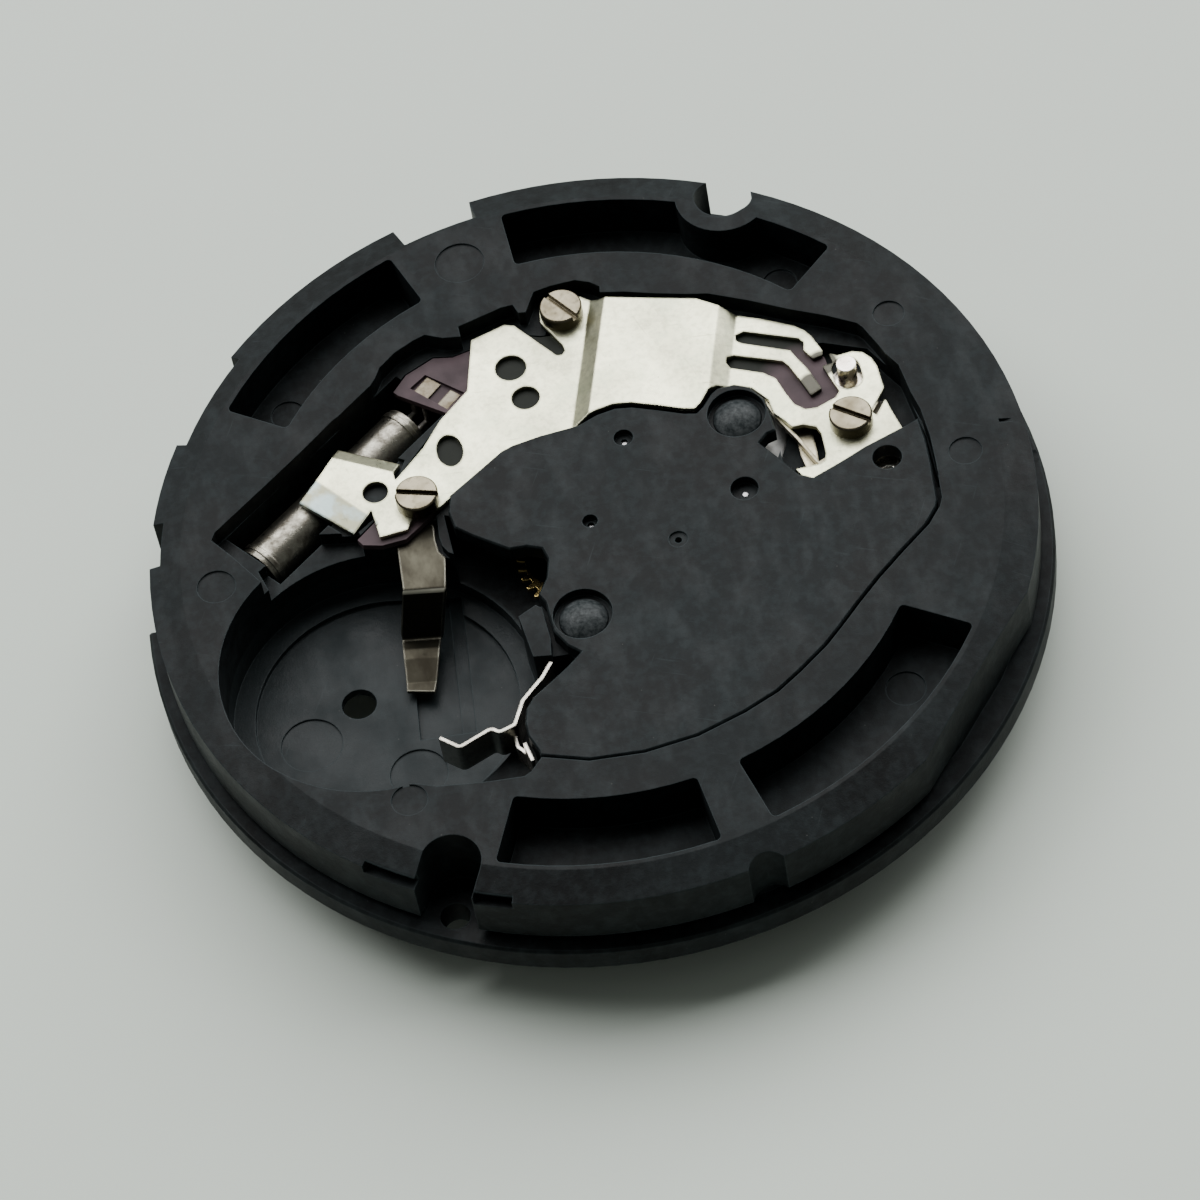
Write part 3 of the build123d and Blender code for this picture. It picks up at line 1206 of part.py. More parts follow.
yoke_spring_shares = [(0.577, 0.306), (0.592, 0.241), (0.632, 0.151), (0.667, 0.056), (0.672, 0.041),
                      (0.697, 0.051)]
with BuildPart() as yoke_spring:
    with BuildSketch(Plane.XY.offset(lever_level + lever_thickness + end_shake)):
        Polygon(*strip_outline(spots(yoke_spring_shares), yoke_spring_thickness), align=None)
    extrude(amount=sheet_seat - lever_level - lever_thickness - end_shake - seat_gap)
yoke_spring.part.label = "yoke_spring"
export_step(yoke_spring.part, "parts/yoke_spring.step")

# Dial-side keeper plate with its countersunk screws
with BuildPart() as keeper_plate:
    with BuildSketch(Plane.XY.offset(keeper_bottom)):
        with BuildLine():
            sector(keeper_inner, keeper_outer, keeper_start + 1, keeper_stop - 1)
        make_face()
        with Locations(minute_place):
            Circle(minute_leaves * module_hour / 2 + module_hour + part_gap, mode=Mode.SUBTRACT)
        with Locations(third_place):
            Circle(pivot_radius + pivot_gap, mode=Mode.SUBTRACT)
        with Locations(*keeper_screw_places):
            Circle(keeper_shank_radius + seat_gap, mode=Mode.SUBTRACT)
    extrude(amount=keeper_thickness)
    with BuildSketch(Plane.XY.offset(keeper_bottom + keeper_head_height)):
        with Locations(*keeper_screw_places):
            Circle(keeper_screw_radius + seat_gap)
    extrude(amount=-keeper_head_height - edge_break, mode=Mode.SUBTRACT)
keeper_plate.part.label = "keeper_plate"
export_step(keeper_plate.part, "parts/keeper_plate.step")

with BuildPart() as keeper_screws:
    with BuildSketch(Plane.XY.offset(keeper_bottom)):
        with Locations(*keeper_screw_places):
            Circle(keeper_screw_radius)
    extrude(amount=keeper_head_height)
    with BuildSketch(Plane.XY.offset(keeper_bottom)):
        with Locations(*keeper_screw_places):
            Circle(keeper_shank_radius)
    extrude(amount=keeper_shank_length)
keeper_screws.part.label = "keeper_screws"
export_step(keeper_screws.part, "parts/keeper_screws.step")
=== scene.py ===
"""Finishes and stage of a quartz watch movement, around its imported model, in metres."""
from math import cos, pi, radians, sin

import bpy
from mathutils import Matrix, Vector


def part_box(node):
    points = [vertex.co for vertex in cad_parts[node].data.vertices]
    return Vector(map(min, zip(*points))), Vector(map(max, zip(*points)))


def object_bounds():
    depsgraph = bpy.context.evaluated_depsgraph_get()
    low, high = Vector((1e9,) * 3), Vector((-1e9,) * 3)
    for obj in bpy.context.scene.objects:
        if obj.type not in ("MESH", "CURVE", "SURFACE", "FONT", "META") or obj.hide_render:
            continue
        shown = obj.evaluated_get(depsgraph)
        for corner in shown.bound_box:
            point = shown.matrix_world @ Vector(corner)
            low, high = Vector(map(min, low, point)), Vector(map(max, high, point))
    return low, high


bl_info = {
    "name": "Quartz Watch Movement",
    "version": (1, 0, 0),
    "blender": (4, 5, 0),
    "location": "3D View > Sidebar > Movement",
    "description": "Finishes and stage of a quartz watch movement",
    "category": "Object",
}

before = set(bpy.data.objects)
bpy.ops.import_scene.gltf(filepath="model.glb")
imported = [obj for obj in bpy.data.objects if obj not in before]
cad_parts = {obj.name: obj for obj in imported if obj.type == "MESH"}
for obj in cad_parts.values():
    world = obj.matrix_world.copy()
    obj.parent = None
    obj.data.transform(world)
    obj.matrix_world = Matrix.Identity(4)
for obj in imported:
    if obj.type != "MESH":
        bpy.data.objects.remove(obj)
cad_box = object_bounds()
MM = 0.001


def tone(red, green, blue):
    """A colour socket's value."""
    return (red, green, blue, 1.0)


def scaled(colour, factor):
    """A colour made darker or lighter by a factor."""
    return tuple(channel * factor for channel in colour[:3]) + (1.0,)


# Places in plan, in millimetres from the hands' axis
SCREWS = [(-4.57, 2.33), (0.79, 7.69), (7.93, 1.42)]
KEEPER_SCREWS = [(-0.85, -4.41), (3.89, 2.25), (-0.24, 4.48)]
RIVETS = [(4.83, 2.48), (-0.87, -3.06)]
WELL = (-6.81, -2.95)
CLIP = (-6.85, 2.75)
# The maintaining plate's finger tips, darkened with painted shade
FINGER_TIPS = [(7.22, 3.02), (7.62, 3.72)]
LEVER_POST = (8.23, 3.20)
CLUTCH = (6.5, 0.0)
# Where the circuit board keeps its own colour; everywhere else it gets painted shade
BOARD_UNSHADED_PLACES = [(-3.3, 6.5), (-5.9, 2.2), (7.2, 3.0)]

# Reaches around those places, in millimetres
RIVET_REACH = 0.66
WELL_REACH = 4.45
CLIP_REACH = 1.3
FINGER_TIP_REACH = 0.40
BOARD_UNSHADED_REACH = 1.3

# Heights above the dial seat, in millimetres, where a finish comes in or goes
RIVET_COMES = (2.58, 2.62)
WELL_COMES = (0.05, 0.10)
WELL_GOES = (1.2, 1.3)
SCREW_FACE = 3.05
# Between these heights the negative contact's bend gets a painted highlight
STRIP_BEND = (2.10, 2.205)

# The way the clip's flap points, where it starts along that way and how far it drops, in millimetres
FLAP_WAY = (-0.802, -0.598, 0.0)
FLAP_START = 3.45
FLAP_RUN = 0.9
FLAP_DROP = 0.15

# The way the coil lies, and the pitch of its turns in millimetres
COIL_TURN = radians(-16.8)
COIL_WAY = (cos(COIL_TURN), sin(COIL_TURN), 0.0)
COIL_PITCH = 0.05

# The face of each finish and what it tarnishes or clouds to
SCREW_NICKEL = (tone(0.22, 0.195, 0.14), tone(0.14, 0.12, 0.08))
CAN_METAL = (tone(0.34, 0.325, 0.275), tone(0.10, 0.09, 0.072))
LEAD_WIRE = (tone(0.60, 0.58, 0.55), tone(0.35, 0.33, 0.30))
PAD_GOLD = (tone(0.15, 0.135, 0.105), tone(0.09, 0.07, 0.045))
CHIP_EPOXY = (tone(0.008, 0.008, 0.008), tone(0.02, 0.02, 0.02))
STRIP_NICKEL = (tone(0.052, 0.049, 0.037), tone(0.026, 0.023, 0.017))
SPRING_NICKEL = (tone(0.72, 0.69, 0.62), tone(0.45, 0.42, 0.36))
STATOR_IRON = (tone(0.45, 0.45, 0.44), tone(0.28, 0.28, 0.27))
# The copper's second colour is the painted shade between the coil's turns
COIL_COPPER = (tone(0.50, 0.18, 0.06), tone(0.12, 0.03, 0.01))
FORMER_PLASTIC = (tone(0.05, 0.05, 0.05), tone(0.08, 0.08, 0.08))
ARBOR_STEEL = (tone(0.36, 0.36, 0.37), tone(0.22, 0.21, 0.21))
MAGNET_GREY = (tone(0.20, 0.20, 0.20), tone(0.10, 0.10, 0.10))
LEVER_NICKEL = (tone(0.98, 0.92, 0.83), tone(0.68, 0.60, 0.52))
YOKE_NICKEL = (tone(0.58, 0.54, 0.42), tone(0.30, 0.27, 0.19))
CLUTCH_STEEL = (tone(0.52, 0.51, 0.50), tone(0.32, 0.31, 0.30))
KEEPER_NICKEL = (tone(0.66, 0.64, 0.59), tone(0.48, 0.46, 0.42))
KEEPER_SCREW_NICKEL = (tone(0.60, 0.55, 0.48), tone(0.40, 0.36, 0.30))

# Colours of single marks and places, and of painted shade, highlight and reflection
DUST = tone(0.14, 0.14, 0.13)
RIVET_BLOOM = tone(0.060, 0.066, 0.068)
FINGER_SHADE = tone(0.030, 0.028, 0.026)
FLAP_PAINTED_REFLECTION = tone(0.36, 0.44, 0.43)
STRIP_PAINTED_HIGHLIGHT = tone(0.62, 0.60, 0.50)
INSERT_TARNISH = tone(0.30, 0.20, 0.10)
BOARD_PAINTED_SHADE = tone(0.008, 0.010, 0.007)
COOL_SHIFT = (0.86, 0.96, 0.94, 1.0)

# Lamps: name, place, width and depth in metres, and power in watts
LAMPS = [("window", (-0.02, 0.38, 0.53), 1.3, 0.6, 12.4),
         ("side_card", (0.51, 0.41, 0.25), 0.45, 0.30, 1.4)]
STUDIO_AIR = tone(0.60, 0.64, 0.60)
STUDIO_STRENGTH = 0.24

# Camera: sensor and lens in millimetres, nearest distance in metres, and what it aims at in millimetres
SENSOR = 36.0
LENS = 168.81
NEAREST = 0.001
AIM = (-0.161, -0.678, 0.0)


class Wire:
    """One socket of a material's nodes: sums on it add the Math nodes that work them out."""

    def __init__(self, tree, socket=None):
        self.tree = tree
        self.socket = socket

    def node(self, kind, settings, sockets, output=0):
        """Add a node: its type, its settings, its sockets' values or wires, and the output to use."""
        made = self.tree.nodes.new(kind)
        for name, value in settings.items():
            setattr(made, name, value)
        for name, value in sockets.items():
            if isinstance(value, Wire):
                self.tree.links.new(value.socket, made.inputs[name])
            else:
                made.inputs[name].default_value = value
        return Wire(self.tree, made.outputs[output])

    def math(self, operation, first, second=0.0):
        """A Math node on two numbers or wires."""
        return self.node("ShaderNodeMath", {"operation": operation}, {0: first, 1: second})

    def __add__(self, other):
        return self.math("ADD", self, other)

    def __radd__(self, other):
        return self.math("ADD", other, self)

    def __sub__(self, other):
        return self.math("SUBTRACT", self, other)

    def __rsub__(self, other):
        return self.math("SUBTRACT", other, self)

    def __mul__(self, other):
        return self.math("MULTIPLY", self, other)

    def __rmul__(self, other):
        return self.math("MULTIPLY", other, self)

    def sine(self):
        """The sine of this wire, in radians."""
        return self.math("SINE", self)

    def vector(self, operation, other, output=0):
        """Vector maths with another vector, or with a factor for SCALE."""
        socket = "Scale" if operation == "SCALE" else 1
        return self.node("ShaderNodeVectorMath", {"operation": operation}, {0: self, socket: other}, output)

    def between(self, low, high):
        """0 up to low, 1 from high, and even steps between them."""
        return self.node("ShaderNodeMapRange", {"clamp": True},
                         {"Value": self, "From Min": low, "From Max": high})

    def mix(self, first, second):
        """A colour between two, by this wire."""
        return self.node("ShaderNodeMix", {"data_type": "RGBA"}, {0: self, 6: first, 7: second}, 2)


class Finish:
    """A material in the making, with its coordinates in millimetres."""

    def __init__(self, name, metallic=0.0, **constants):
        self.material = bpy.data.materials.new(name)
        self.material.use_nodes = True
        self.tree = self.material.node_tree
        self.shader = self.tree.nodes["Principled BSDF"]
        self.start = Wire(self.tree)
        self.place = self.start.node("ShaderNodeTexCoord", {}, {}, "Object").vector("SCALE", 1 / MM)
        self.put(Metallic=metallic, **constants)

    def put(self, **sockets):
        """Set the shader's sockets, by name with underscores for spaces, to values or wires."""
        for name, value in sockets.items():
            socket = self.shader.inputs[name.replace("_", " ")]
            if isinstance(value, Wire):
                self.tree.links.new(value.socket, socket)
            else:
                socket.default_value = value

    def noise(self, scale, detail=3.0, stretch=None, roughness=0.5):
        """Noise with this many waves to the millimetre, drawn out along an axis if asked."""
        place = self.place.vector("MULTIPLY", stretch) if stretch else self.place
        return self.start.node("ShaderNodeTexNoise", {},
                               {"Vector": place, "Scale": scale, "Detail": detail, "Roughness": roughness})

    def cells(self, scale):
        """Distance to the nearest of points strewn this many to the millimetre."""
        return self.start.node("ShaderNodeTexVoronoi", {}, {"Vector": self.place, "Scale": scale})

    def rings(self, centres):
        """Distance in millimetres, flat in Z, to the nearest of these centres."""
        nearest = None
        for x, y in centres:
            flat = self.place.vector("MULTIPLY", (1.0, 1.0, 0.0))
            reach = flat.vector("DISTANCE", (x, y, 0.0), "Value")
            nearest = reach if nearest is None else nearest.math("MINIMUM", nearest, reach)
        return nearest

    def near(self, centres, reach, blur):
        """1 within this reach of the nearest centre, fading to 0 over the blur, in millimetres."""
        return 1 - self.rings(centres).between(reach, reach + blur)

    def height(self):
        """Height above the dial seat, in millimetres."""
        return self.start.node("ShaderNodeSeparateXYZ", {}, {"Vector": self.place}, "Z")

    def edges(self, radius):
        """The normal with its edges rounded by this radius in millimetres."""
        return self.start.node("ShaderNodeBevel", {"samples": 4}, {"Radius": radius * MM})

    def edge_band(self, radius=0.06):
        """1 on the edges and corners within this radius in millimetres, and 0 on the faces."""
        plain = self.start.node("ShaderNodeNewGeometry", {}, {}, "Normal")
        return (1 - self.edges(radius).vector("DOT_PRODUCT", plain, "Value")).between(0.02, 0.25)

    def scratches(self, angle, count=0.71):
        """Fine straight marks at an angle in degrees; a higher count leaves fewer."""
        turn = {"Vector": self.place, "Angle": radians(angle)}
        turned = self.start.node("ShaderNodeVectorRotate", {"rotation_type": "Z_AXIS"}, turn)
        marks = {"Vector": turned.vector("MULTIPLY", (0.35, 9.0, 1.0)), "Scale": 1.3, "Detail": 2.0}
        return self.start.node("ShaderNodeTexNoise", {}, marks).between(count, count + 0.03)

    def crossed_scratches(self, first, second, second_count):
        """Fine straight marks at two angles in degrees."""
        return self.start.math("MAXIMUM", self.scratches(first), self.scratches(second, second_count))

    def relief(self, height, depth, radius):
        """Send a height of this depth, on edges rounded by this radius, to the shader, in millimetres."""
        sockets = {"Strength": 1.0, "Distance": depth * MM, "Height": height, "Normal": self.edges(radius)}
        self.put(Normal=self.start.node("ShaderNodeBump", {}, sockets))


def moulded_plastic(name, colour, haze, gloss, rivets=(), well=None):
    """Black moulded plastic with cloudy marks, grain, dust and edges lightened by wear and a painted
    highlight, shiny on a well's floor.
    """
    made = Finish(name, Specular_IOR_Level=0.11)
    cloud = made.noise(0.30, 6.0).between(0.40, 0.62)
    smear = made.noise(1.4, 5.0, (1.0, 0.45, 1.0), 0.6).between(0.46, 0.66)
    dust = (1 - made.cells(2.7).between(0.02, 0.05)) * made.noise(0.8).between(0.50, 0.58)
    marks = made.crossed_scratches(25.0, -62.0, 0.73)
    mottle = made.noise(3.2, 4.0, None, 0.65)
    tint = (cloud * 0.40 + smear * 0.25 + mottle.between(0.44, 0.62) * 0.40).mix(colour, haze)
    rough = gloss + 0.12 * cloud - 0.09 * smear + 0.10 * mottle
    if well:
        inner = made.height().between(*WELL_COMES) * (1 - made.height().between(*WELL_GOES))
        floor = made.near([well], WELL_REACH, 0.05) * inner
        tint = (floor * 0.5).mix(tint, scaled(haze, 1.6))
        rough = rough - 0.20 * floor * made.noise(0.7, 3.0).between(0.35, 0.60)
    if rivets:
        inside = made.near(rivets, RIVET_REACH, 0.04) * made.height().between(*RIVET_COMES)
        matt = made.noise(7.0, 5.0, None, 0.7).between(0.35, 0.70)
        tint = inside.mix(tint, matt.mix(scaled(haze, 0.9), RIVET_BLOOM))
        rough = rough - 0.12 * inside
    # Lighter edges: partly wear, partly a painted highlight along every edge.
    tint = (made.edge_band() * 0.75).mix(tint, scaled(haze, 3.6))
    tint = (marks * 0.25).mix(tint, scaled(haze, 2.2))
    tint = (dust * 0.6).mix(tint, DUST)
    made.put(Base_Color=tint, Roughness=rough + 0.15 * dust)
    made.relief(made.noise(26.0, 2.0) + 0.7 * made.noise(6.0) + 2.5 * mottle - 0.25 * marks, 0.004, 0.05)
    return made.material


def plated_sheet(name, colour, dull, gloss, ripple=0.0022, springs=False):
    """Plated sheet metal with rolled grain, orange peel, scratches, smudges and painted shade along its
    edges.

    With springs it has painted shade on the maintaining plate's finger tips, and painted shade with painted
    reflection stripes on the flap over the can, where a bump also slopes its surface down."""
    made = Finish(name, 1.0)
    smudge = made.noise(0.5, 5.0).between(0.36, 0.68)
    cool = made.noise(0.9, 3.0).between(0.52, 0.68)
    lines = made.noise(18.0, 3.0, (1.0, 0.12, 1.0))
    marks = made.crossed_scratches(8.0, 74.0, 0.72)
    specks = (1 - made.cells(3.1).between(0.03, 0.07)) * made.noise(1.1).between(0.54, 0.60)
    speckle = made.noise(6.0, 5.0, None, 0.65).between(0.44, 0.66)
    tint = (smudge * 0.7 + speckle * 0.5).mix(colour, dull)
    tint = (cool * 0.35).mix(tint, tuple(channel * shift for channel, shift in zip(dull, COOL_SHIFT)))
    relief = 0.35 * lines + 0.8 * made.noise(4.5, 3.0) + 0.25 * marks
    if springs:
        # Painted shade darkens the finger tips.
        tip_painted_shade = made.near(FINGER_TIPS, FINGER_TIP_REACH, 0.14)
        tint = (tip_painted_shade * 0.96).mix(tint, FINGER_SHADE)
        reach = made.place.vector("DOT_PRODUCT", FLAP_WAY, "Value")
        # Painted shade and painted reflection stripes on the clip's flap, from where it starts along its
        # way.
        flap_reflection_streaks = made.noise(1.6, 4.0, (1.0, 1.0, 0.3)).between(0.42, 0.60)
        clip = made.near([CLIP], CLIP_REACH, 0.05)
        flap_painted_light = reach.between(FLAP_START, FLAP_START + 0.06) * clip
        tint = flap_painted_light.mix(tint, flap_reflection_streaks.mix(scaled(dull, 0.66), FLAP_PAINTED_REFLECTION))
        relief = relief - reach.between(FLAP_START, FLAP_START + FLAP_RUN) * clip * (FLAP_DROP / ripple)
    tint = (specks * 0.7).mix(tint, scaled(dull, 0.25))
    # Darker edges: painted shade along every edge.
    tint = (made.edge_band(0.09) * 0.5).mix(tint, scaled(dull, 0.45))
    rough = gloss + 0.12 * smudge + 0.05 * lines + 0.15 * marks + 0.3 * specks
    made.put(Base_Color=tint, Roughness=rough)
    made.relief(relief, ripple, 0.09)
    return made.material


def turned_metal(name, colour, dull, gloss, centres, waves=11.0, face=None):
    """Turned metal with fine circular lines about its centres, tarnish, painted shade on the flanks below a
    face, and edges lightened by wear and a painted highlight.
    """
    made = Finish(name, 1.0)
    rings = (made.rings(centres) * (2 * pi * waves)).sine()
    patch = made.noise(1.8, 5.0).between(0.40, 0.66)
    grime = made.noise(5.0, 4.0).between(0.55, 0.72)
    tint = (grime * 0.5).mix(patch.mix(colour, dull), scaled(dull, 0.4))
    # Painted shade on the flanks below the face.
    if face:
        tint = (1 - made.height().between(face - 0.04, face - 0.02)).mix(tint, scaled(dull, 0.7))
    # Lighter edges: partly wear, partly a painted highlight on the rims.
    tint = (made.edge_band(0.05) * 0.6).mix(tint, scaled(colour, 1.35))
    made.put(Base_Color=tint, Roughness=gloss + 0.14 * patch + 0.12 * grime)
    made.relief(0.30 * rings + 0.5 * made.noise(9.0, 3.0), 0.0009, 0.04)
    return made.material


def tarnished_metal(name, colour, dull, gloss, spots=2.4, depth=0.004, stretch=None, wear_and_highlight=None,
                    bend=None):
    """Drawn or stamped metal with mottled tarnish, small dents, edges lightened by wear and a painted
    highlight, and a painted highlight along a bend.
    """
    made = Finish(name, 1.0)
    mottle = made.noise(spots, 6.0, stretch, 0.65).between(0.36, 0.64)
    pits = 1 - made.cells(spots * 2.0).between(0.05, 0.16)
    marks = made.scratches(40.0, 0.70)
    tint = (0.6 * marks).mix(mottle.mix(colour, dull), colour)
    # Lighter edges: partly wear, partly a painted highlight.
    tint = (made.edge_band(0.09) * 0.7).mix(tint, wear_and_highlight or scaled(colour, 1.5))
    # A painted highlight along the bend between the given heights.
    if bend:
        low, high = bend
        bend_highlight = made.height().between(low, low + 0.02) * (1 - made.height().between(high - 0.02, high))
        tint = (bend_highlight * 0.9).mix(tint, wear_and_highlight)
    made.put(Base_Color=tint, Roughness=gloss + 0.20 * mottle + 0.1 * pits)
    made.relief(made.noise(6.0, 5.0) - 0.5 * pits, depth, 0.06)
    return made.material


def laminate(name, colour, dark, unshaded_places):
    """Circuit laminate with its glass weave showing faintly, in its own colour near the given places alone
    and painted near-black shade everywhere else.
    """
    made = Finish(name, Specular_IOR_Level=0.10)
    weave = made.noise(9.0, 2.0, (1.0, 0.2, 1.0)) * made.noise(9.0, 2.0, (0.2, 1.0, 1.0))
    stain = made.noise(1.1, 4.0).between(0.4, 0.7)
    tint = (made.edge_band(0.04) * 0.5).mix(stain.mix(colour, dark), scaled(colour, 1.9))
    # Painted near-black shade over the board, except near the given places.
    tint = made.near(unshaded_places, BOARD_UNSHADED_REACH, 0.5).mix(BOARD_PAINTED_SHADE, tint)
    made.put(Base_Color=tint, Roughness=0.42 + 0.2 * weave)
    made.relief(weave, 0.006, 0.02)
    return made.material


def wound_wire(name, colour, dark, way):
    """Enamelled wire in even turns along an axis, with painted shade between the turns."""
    made = Finish(name, 0.9, Coat_Weight=0.5, Coat_Roughness=0.12)
    reach = made.place.vector("DOT_PRODUCT", way, "Value")
    turns = ((reach + 0.012 * made.noise(2.0)) * (2 * pi / COIL_PITCH)).sine() * 0.5 + 0.5
    patch = made.noise(3.0, 3.0).between(0.35, 0.7)
    # Painted shade between the turns.
    tint = turns.mix(dark, patch.mix(colour, scaled(colour, 0.7)))
    made.put(Base_Color=tint, Roughness=0.24 + 0.14 * patch)
    made.relief(turns + 0.2 * made.noise(12.0), 0.012, 0.01)
    return made.material


def dress(finish, *nodes):
    """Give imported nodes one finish, in every material slot they have."""
    for name in nodes:
        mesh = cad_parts[name].data
        mesh.materials.clear()
        mesh.materials.append(finish)


def hub(node):
    """Where a round node is centred in plan, in millimetres."""
    low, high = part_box(node)
    return ((low.x + high.x) / 2 / MM, (low.y + high.y) / 2 / MM)


class MovementColours(bpy.types.PropertyGroup):
    """Colours that a user would change."""

    plastic: bpy.props.FloatVectorProperty(
        name="Plastic", description="Colour of the black moulded plastic",
        default=(0.0022, 0.0029, 0.0031), subtype="COLOR")
    sheet: bpy.props.FloatVectorProperty(
        name="Sheet", description="Colour of the plated sheet metal",
        default=(0.74, 0.74, 0.53), subtype="COLOR")
    brass: bpy.props.FloatVectorProperty(
        name="Brass", description="Colour of the brass wheels",
        default=(0.80, 0.60, 0.23), subtype="COLOR")
    board: bpy.props.FloatVectorProperty(
        name="Board", description="Colour of the circuit board",
        default=(0.072, 0.050, 0.056), subtype="COLOR")
    floor: bpy.props.FloatVectorProperty(
        name="Floor", description="Colour of the pale floor",
        default=(0.600, 0.655, 0.595), subtype="COLOR")


class MovementSizes(bpy.types.PropertyGroup):
    """Sizes of the stage that a user would change."""

    floor_width: bpy.props.FloatProperty(
        name="Floor width", description="Side of the square floor",
        default=3.0, unit="LENGTH")
    camera_reach: bpy.props.FloatProperty(
        name="Camera distance", description="Camera to the middle of the picture",
        default=0.1606, unit="LENGTH")
    camera_height: bpy.props.FloatProperty(
        name="Camera elevation", description="Angle of the view above the floor",
        default=radians(54.24), subtype="ANGLE")
    camera_turn: bpy.props.FloatProperty(
        name="Camera turn", description="Angle of the view about the hands' axis",
        default=radians(-3.0), subtype="ANGLE")
    camera_roll: bpy.props.FloatProperty(
        name="Camera roll", description="Turn of the picture about the line of sight",
        default=radians(-11.34), subtype="ANGLE")


def shade(name):
    """A colour of the panel as a socket's value."""
    return tuple(getattr(bpy.context.scene.movement_colours, name)) + (1.0,)


class MOVEMENT_OT_plate(bpy.types.Operator):
    """Finish the moulded main plate and the train bridge"""

    bl_idname = "movement.plate"
    bl_label = "Plate and bridge"

    def execute(self, context):
        plastic = shade("plastic")
        dress(moulded_plastic("plate_plastic", plastic, scaled(plastic, 6.0), 0.45, RIVETS, WELL),
              "main_plate")
        dress(moulded_plastic("bridge_plastic", plastic, scaled(plastic, 7.0), 0.43), "train_bridge")
        return {"FINISHED"}


class MOVEMENT_OT_sheet(bpy.types.Operator):
    """Finish the maintaining plate, its screws and their inserts"""

    bl_idname = "movement.sheet"
    bl_label = "Sheet and screws"

    def execute(self, context):
        sheet = shade("sheet")
        dress(plated_sheet("sheet_nickel", sheet, scaled(sheet, 0.62), 0.25, ripple=0.006, springs=True),
              "maintaining_plate")
        dress(turned_metal("screw_nickel", *SCREW_NICKEL, 0.24, SCREWS, face=SCREW_FACE), "plate_screws")
        dress(turned_metal("insert_brass", scaled(shade("brass"), 0.8), INSERT_TARNISH, 0.3, SCREWS),
              "threaded_inserts")
        return {"FINISHED"}


class MOVEMENT_OT_crystal(bpy.types.Operator):
    """Finish the crystal can and its leads"""

    bl_idname = "movement.crystal"
    bl_label = "Crystal"

    def execute(self, context):
        dress(tarnished_metal("can_metal", *CAN_METAL, 0.24, spots=3.2, depth=0.007), "crystal_can")
        dress(tarnished_metal("lead_wire", *LEAD_WIRE, 0.3), "crystal_leads")
        return {"FINISHED"}


class MOVEMENT_OT_board(bpy.types.Operator):
    """Finish the circuit board, its pads and its chip"""

    bl_idname = "movement.board"
    bl_label = "Circuit board"

    def execute(self, context):
        board = shade("board")
        dress(laminate("board_laminate", board, scaled(board, 0.55), BOARD_UNSHADED_PLACES), "circuit_board")
        dress(tarnished_metal("pad_gold", *PAD_GOLD, 0.3), "board_pads")
        dress(moulded_plastic("chip_epoxy", *CHIP_EPOXY, 0.55), "chip")
        return {"FINISHED"}


class MOVEMENT_OT_contacts(bpy.types.Operator):
    """Finish the two battery contacts"""

    bl_idname = "movement.contacts"
    bl_label = "Battery contacts"

    def execute(self, context):
        strip = tarnished_metal("strip_nickel", *STRIP_NICKEL, 0.30, spots=0.9, depth=0.002,
                                stretch=(1.0, 0.5, 1.0), wear_and_highlight=STRIP_PAINTED_HIGHLIGHT, bend=STRIP_BEND)
        dress(strip, "negative_contact")
        dress(plated_sheet("spring_nickel", *SPRING_NICKEL, 0.22), "positive_contact")
        return {"FINISHED"}


class MOVEMENT_OT_motor(bpy.types.Operator):
    """Finish the step motor"""

    bl_idname = "movement.motor"
    bl_label = "Step motor"

    def execute(self, context):
        dress(plated_sheet("stator_iron", *STATOR_IRON, 0.34), "stator", "coil_core")
        dress(wound_wire("coil_copper", *COIL_COPPER, COIL_WAY), "coil_winding")
        dress(moulded_plastic("former_plastic", *FORMER_PLASTIC, 0.5), "coil_former")
        return {"FINISHED"}


class MOVEMENT_OT_train(bpy.types.Operator):
    """Finish the wheels and arbors of the train and of the motion works"""

    bl_idname = "movement.train"
    bl_label = "Wheels"

    def execute(self, context):
        brass = shade("brass")
        for name in ("step_wheel", "second_wheel", "third_wheel", "driving_wheel", "minute_wheel",
                     "hour_wheel", "centre_tube"):
            dress(turned_metal(name + "_brass", brass, scaled(brass, 0.6), 0.2, [hub(name)], 14.0), name)
        for name in ("rotor_arbor", "step_arbor", "second_arbor", "third_arbor", "cannon_pinion",
                     "setting_wheel"):
            dress(turned_metal(name + "_steel", *ARBOR_STEEL, 0.2, [hub(name)]), name)
        dress(tarnished_metal("magnet_grey", *MAGNET_GREY, 0.45), "rotor_magnet")
        return {"FINISHED"}


class MOVEMENT_OT_keyless(bpy.types.Operator):
    """Finish the keyless works and the keeper plate"""

    bl_idname = "movement.keyless"
    bl_label = "Keyless works"

    def execute(self, context):
        dress(turned_metal("lever_nickel", *LEVER_NICKEL, 0.2, [LEVER_POST]), "setting_lever")
        dress(plated_sheet("yoke_nickel", *YOKE_NICKEL, 0.22), "yoke", "yoke_spring")
        dress(turned_metal("clutch_steel", *CLUTCH_STEEL, 0.2, [CLUTCH]), "clutch_pinion")
        dress(plated_sheet("keeper_nickel", *KEEPER_NICKEL, 0.28), "keeper_plate")
        dress(turned_metal("keeper_screw_nickel", *KEEPER_SCREW_NICKEL, 0.22, KEEPER_SCREWS),
              "keeper_screws")
        return {"FINISHED"}


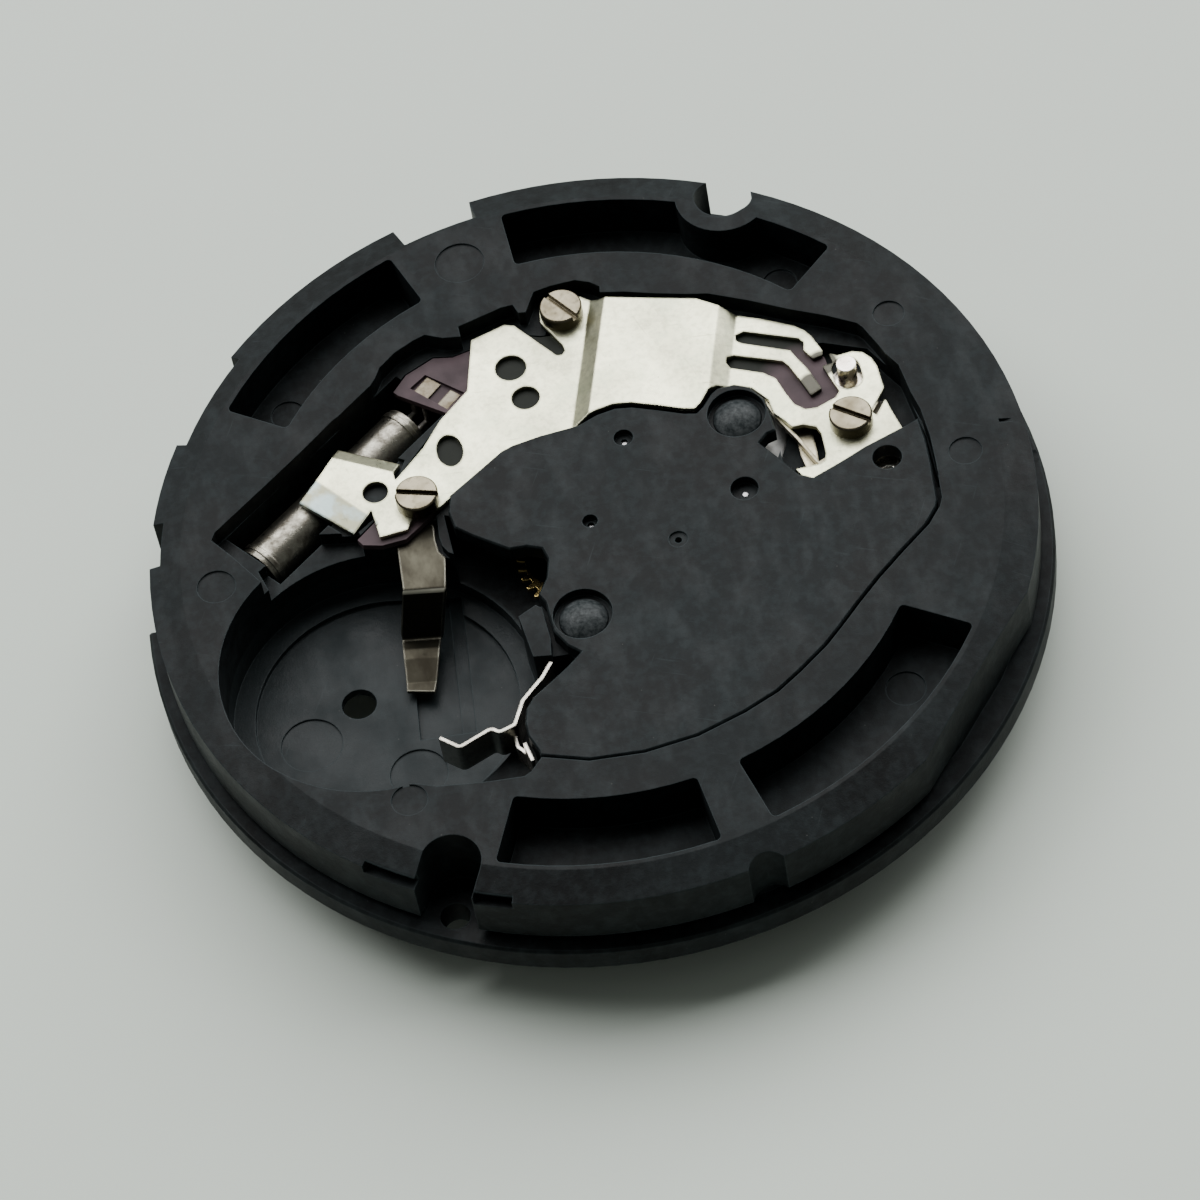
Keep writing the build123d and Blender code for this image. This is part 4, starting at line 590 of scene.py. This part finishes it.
def lay_floor(context):
    """A square of pale paper under the lowest point of the movement."""
    half = context.scene.movement_sizes.floor_width / 2
    low = cad_box[0][2]
    mesh = bpy.data.meshes.new("floor")
    corners = [(-half, -half, low), (half, -half, low), (half, half, low), (-half, half, low)]
    mesh.from_pydata(corners, [], [(0, 1, 2, 3)])
    floor = bpy.data.objects.new("floor", mesh)
    context.scene.collection.objects.link(floor)
    paper = Finish("floor_paper", Specular_IOR_Level=0.2)
    colour = shade("floor")
    paper.put(Base_Color=paper.noise(0.15, 3.0).mix(colour, scaled(colour, 0.97)), Roughness=0.9)
    mesh.materials.append(paper.material)


def light_studio(context):
    """Even light all round, and area lamps that face the movement."""
    world = bpy.data.worlds.new("studio")
    context.scene.world = world
    world.use_nodes = True
    background = world.node_tree.nodes["Background"]
    background.inputs["Color"].default_value = STUDIO_AIR
    background.inputs["Strength"].default_value = STUDIO_STRENGTH
    for name, place, width, depth, power in LAMPS:
        light = bpy.data.lights.new(name, "AREA")
        light.shape = "RECTANGLE"
        light.size = width
        light.size_y = depth
        light.energy = power
        lamp = bpy.data.objects.new(name, light)
        context.scene.collection.objects.link(lamp)
        lamp.location = place
        lamp.rotation_euler = lamp.location.to_track_quat("Z", "Y").to_euler()


def set_camera(context):
    """A camera that looks down at the train side, as the photograph does."""
    sizes = context.scene.movement_sizes
    view = bpy.data.cameras.new("camera")
    view.sensor_width = SENSOR
    view.lens = LENS
    view.clip_start = NEAREST
    camera = bpy.data.objects.new("camera", view)
    context.scene.collection.objects.link(camera)
    back = Vector((0, -cos(sizes.camera_height), sin(sizes.camera_height)))
    right = Vector((1, 0, 0))
    up = back.cross(right)
    roll = sizes.camera_roll
    right, up = cos(roll) * right + sin(roll) * up, cos(roll) * up - sin(roll) * right
    spin = Matrix.Rotation(sizes.camera_turn, 3, "Z")
    turned = Matrix([spin @ right, spin @ up, spin @ back]).transposed().to_4x4()
    place = spin @ (Vector(AIM) * MM + back * sizes.camera_reach)
    camera.matrix_world = Matrix.Translation(place) @ turned
    context.scene.camera = camera


class MOVEMENT_OT_stage(bpy.types.Operator):
    """Lay the floor and set the lights and the camera"""

    bl_idname = "movement.stage"
    bl_label = "Stage"

    def execute(self, context):
        lay_floor(context)
        light_studio(context)
        set_camera(context)
        return {"FINISHED"}


class MOVEMENT_PT_panel(bpy.types.Panel):
    """The movement's settings and the steps that dress it"""

    bl_idname = "MOVEMENT_PT_panel"
    bl_label = "Quartz movement"
    bl_space_type = "VIEW_3D"
    bl_region_type = "UI"
    bl_category = "Movement"

    def draw(self, context):
        for group in (context.scene.movement_sizes, context.scene.movement_colours):
            for name in group.__annotations__:
                self.layout.prop(group, name)
        for step in STEPS:
            self.layout.operator(step.bl_idname)


STEPS = (MOVEMENT_OT_plate, MOVEMENT_OT_sheet, MOVEMENT_OT_crystal, MOVEMENT_OT_board, MOVEMENT_OT_contacts,
         MOVEMENT_OT_motor, MOVEMENT_OT_train, MOVEMENT_OT_keyless, MOVEMENT_OT_stage)
CLASSES = (MovementColours, MovementSizes) + STEPS + (MOVEMENT_PT_panel,)


def register():
    for item in CLASSES:
        bpy.utils.register_class(item)
    bpy.types.Scene.movement_colours = bpy.props.PointerProperty(type=MovementColours)
    bpy.types.Scene.movement_sizes = bpy.props.PointerProperty(type=MovementSizes)


def unregister():
    del bpy.types.Scene.movement_sizes
    del bpy.types.Scene.movement_colours
    for item in reversed(CLASSES):
        bpy.utils.unregister_class(item)


def main():
    """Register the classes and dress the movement."""
    register()
    for step in STEPS:
        group, name = step.bl_idname.split(".")
        getattr(getattr(bpy.ops, group), name)()


if __name__ == "__main__":
    main()
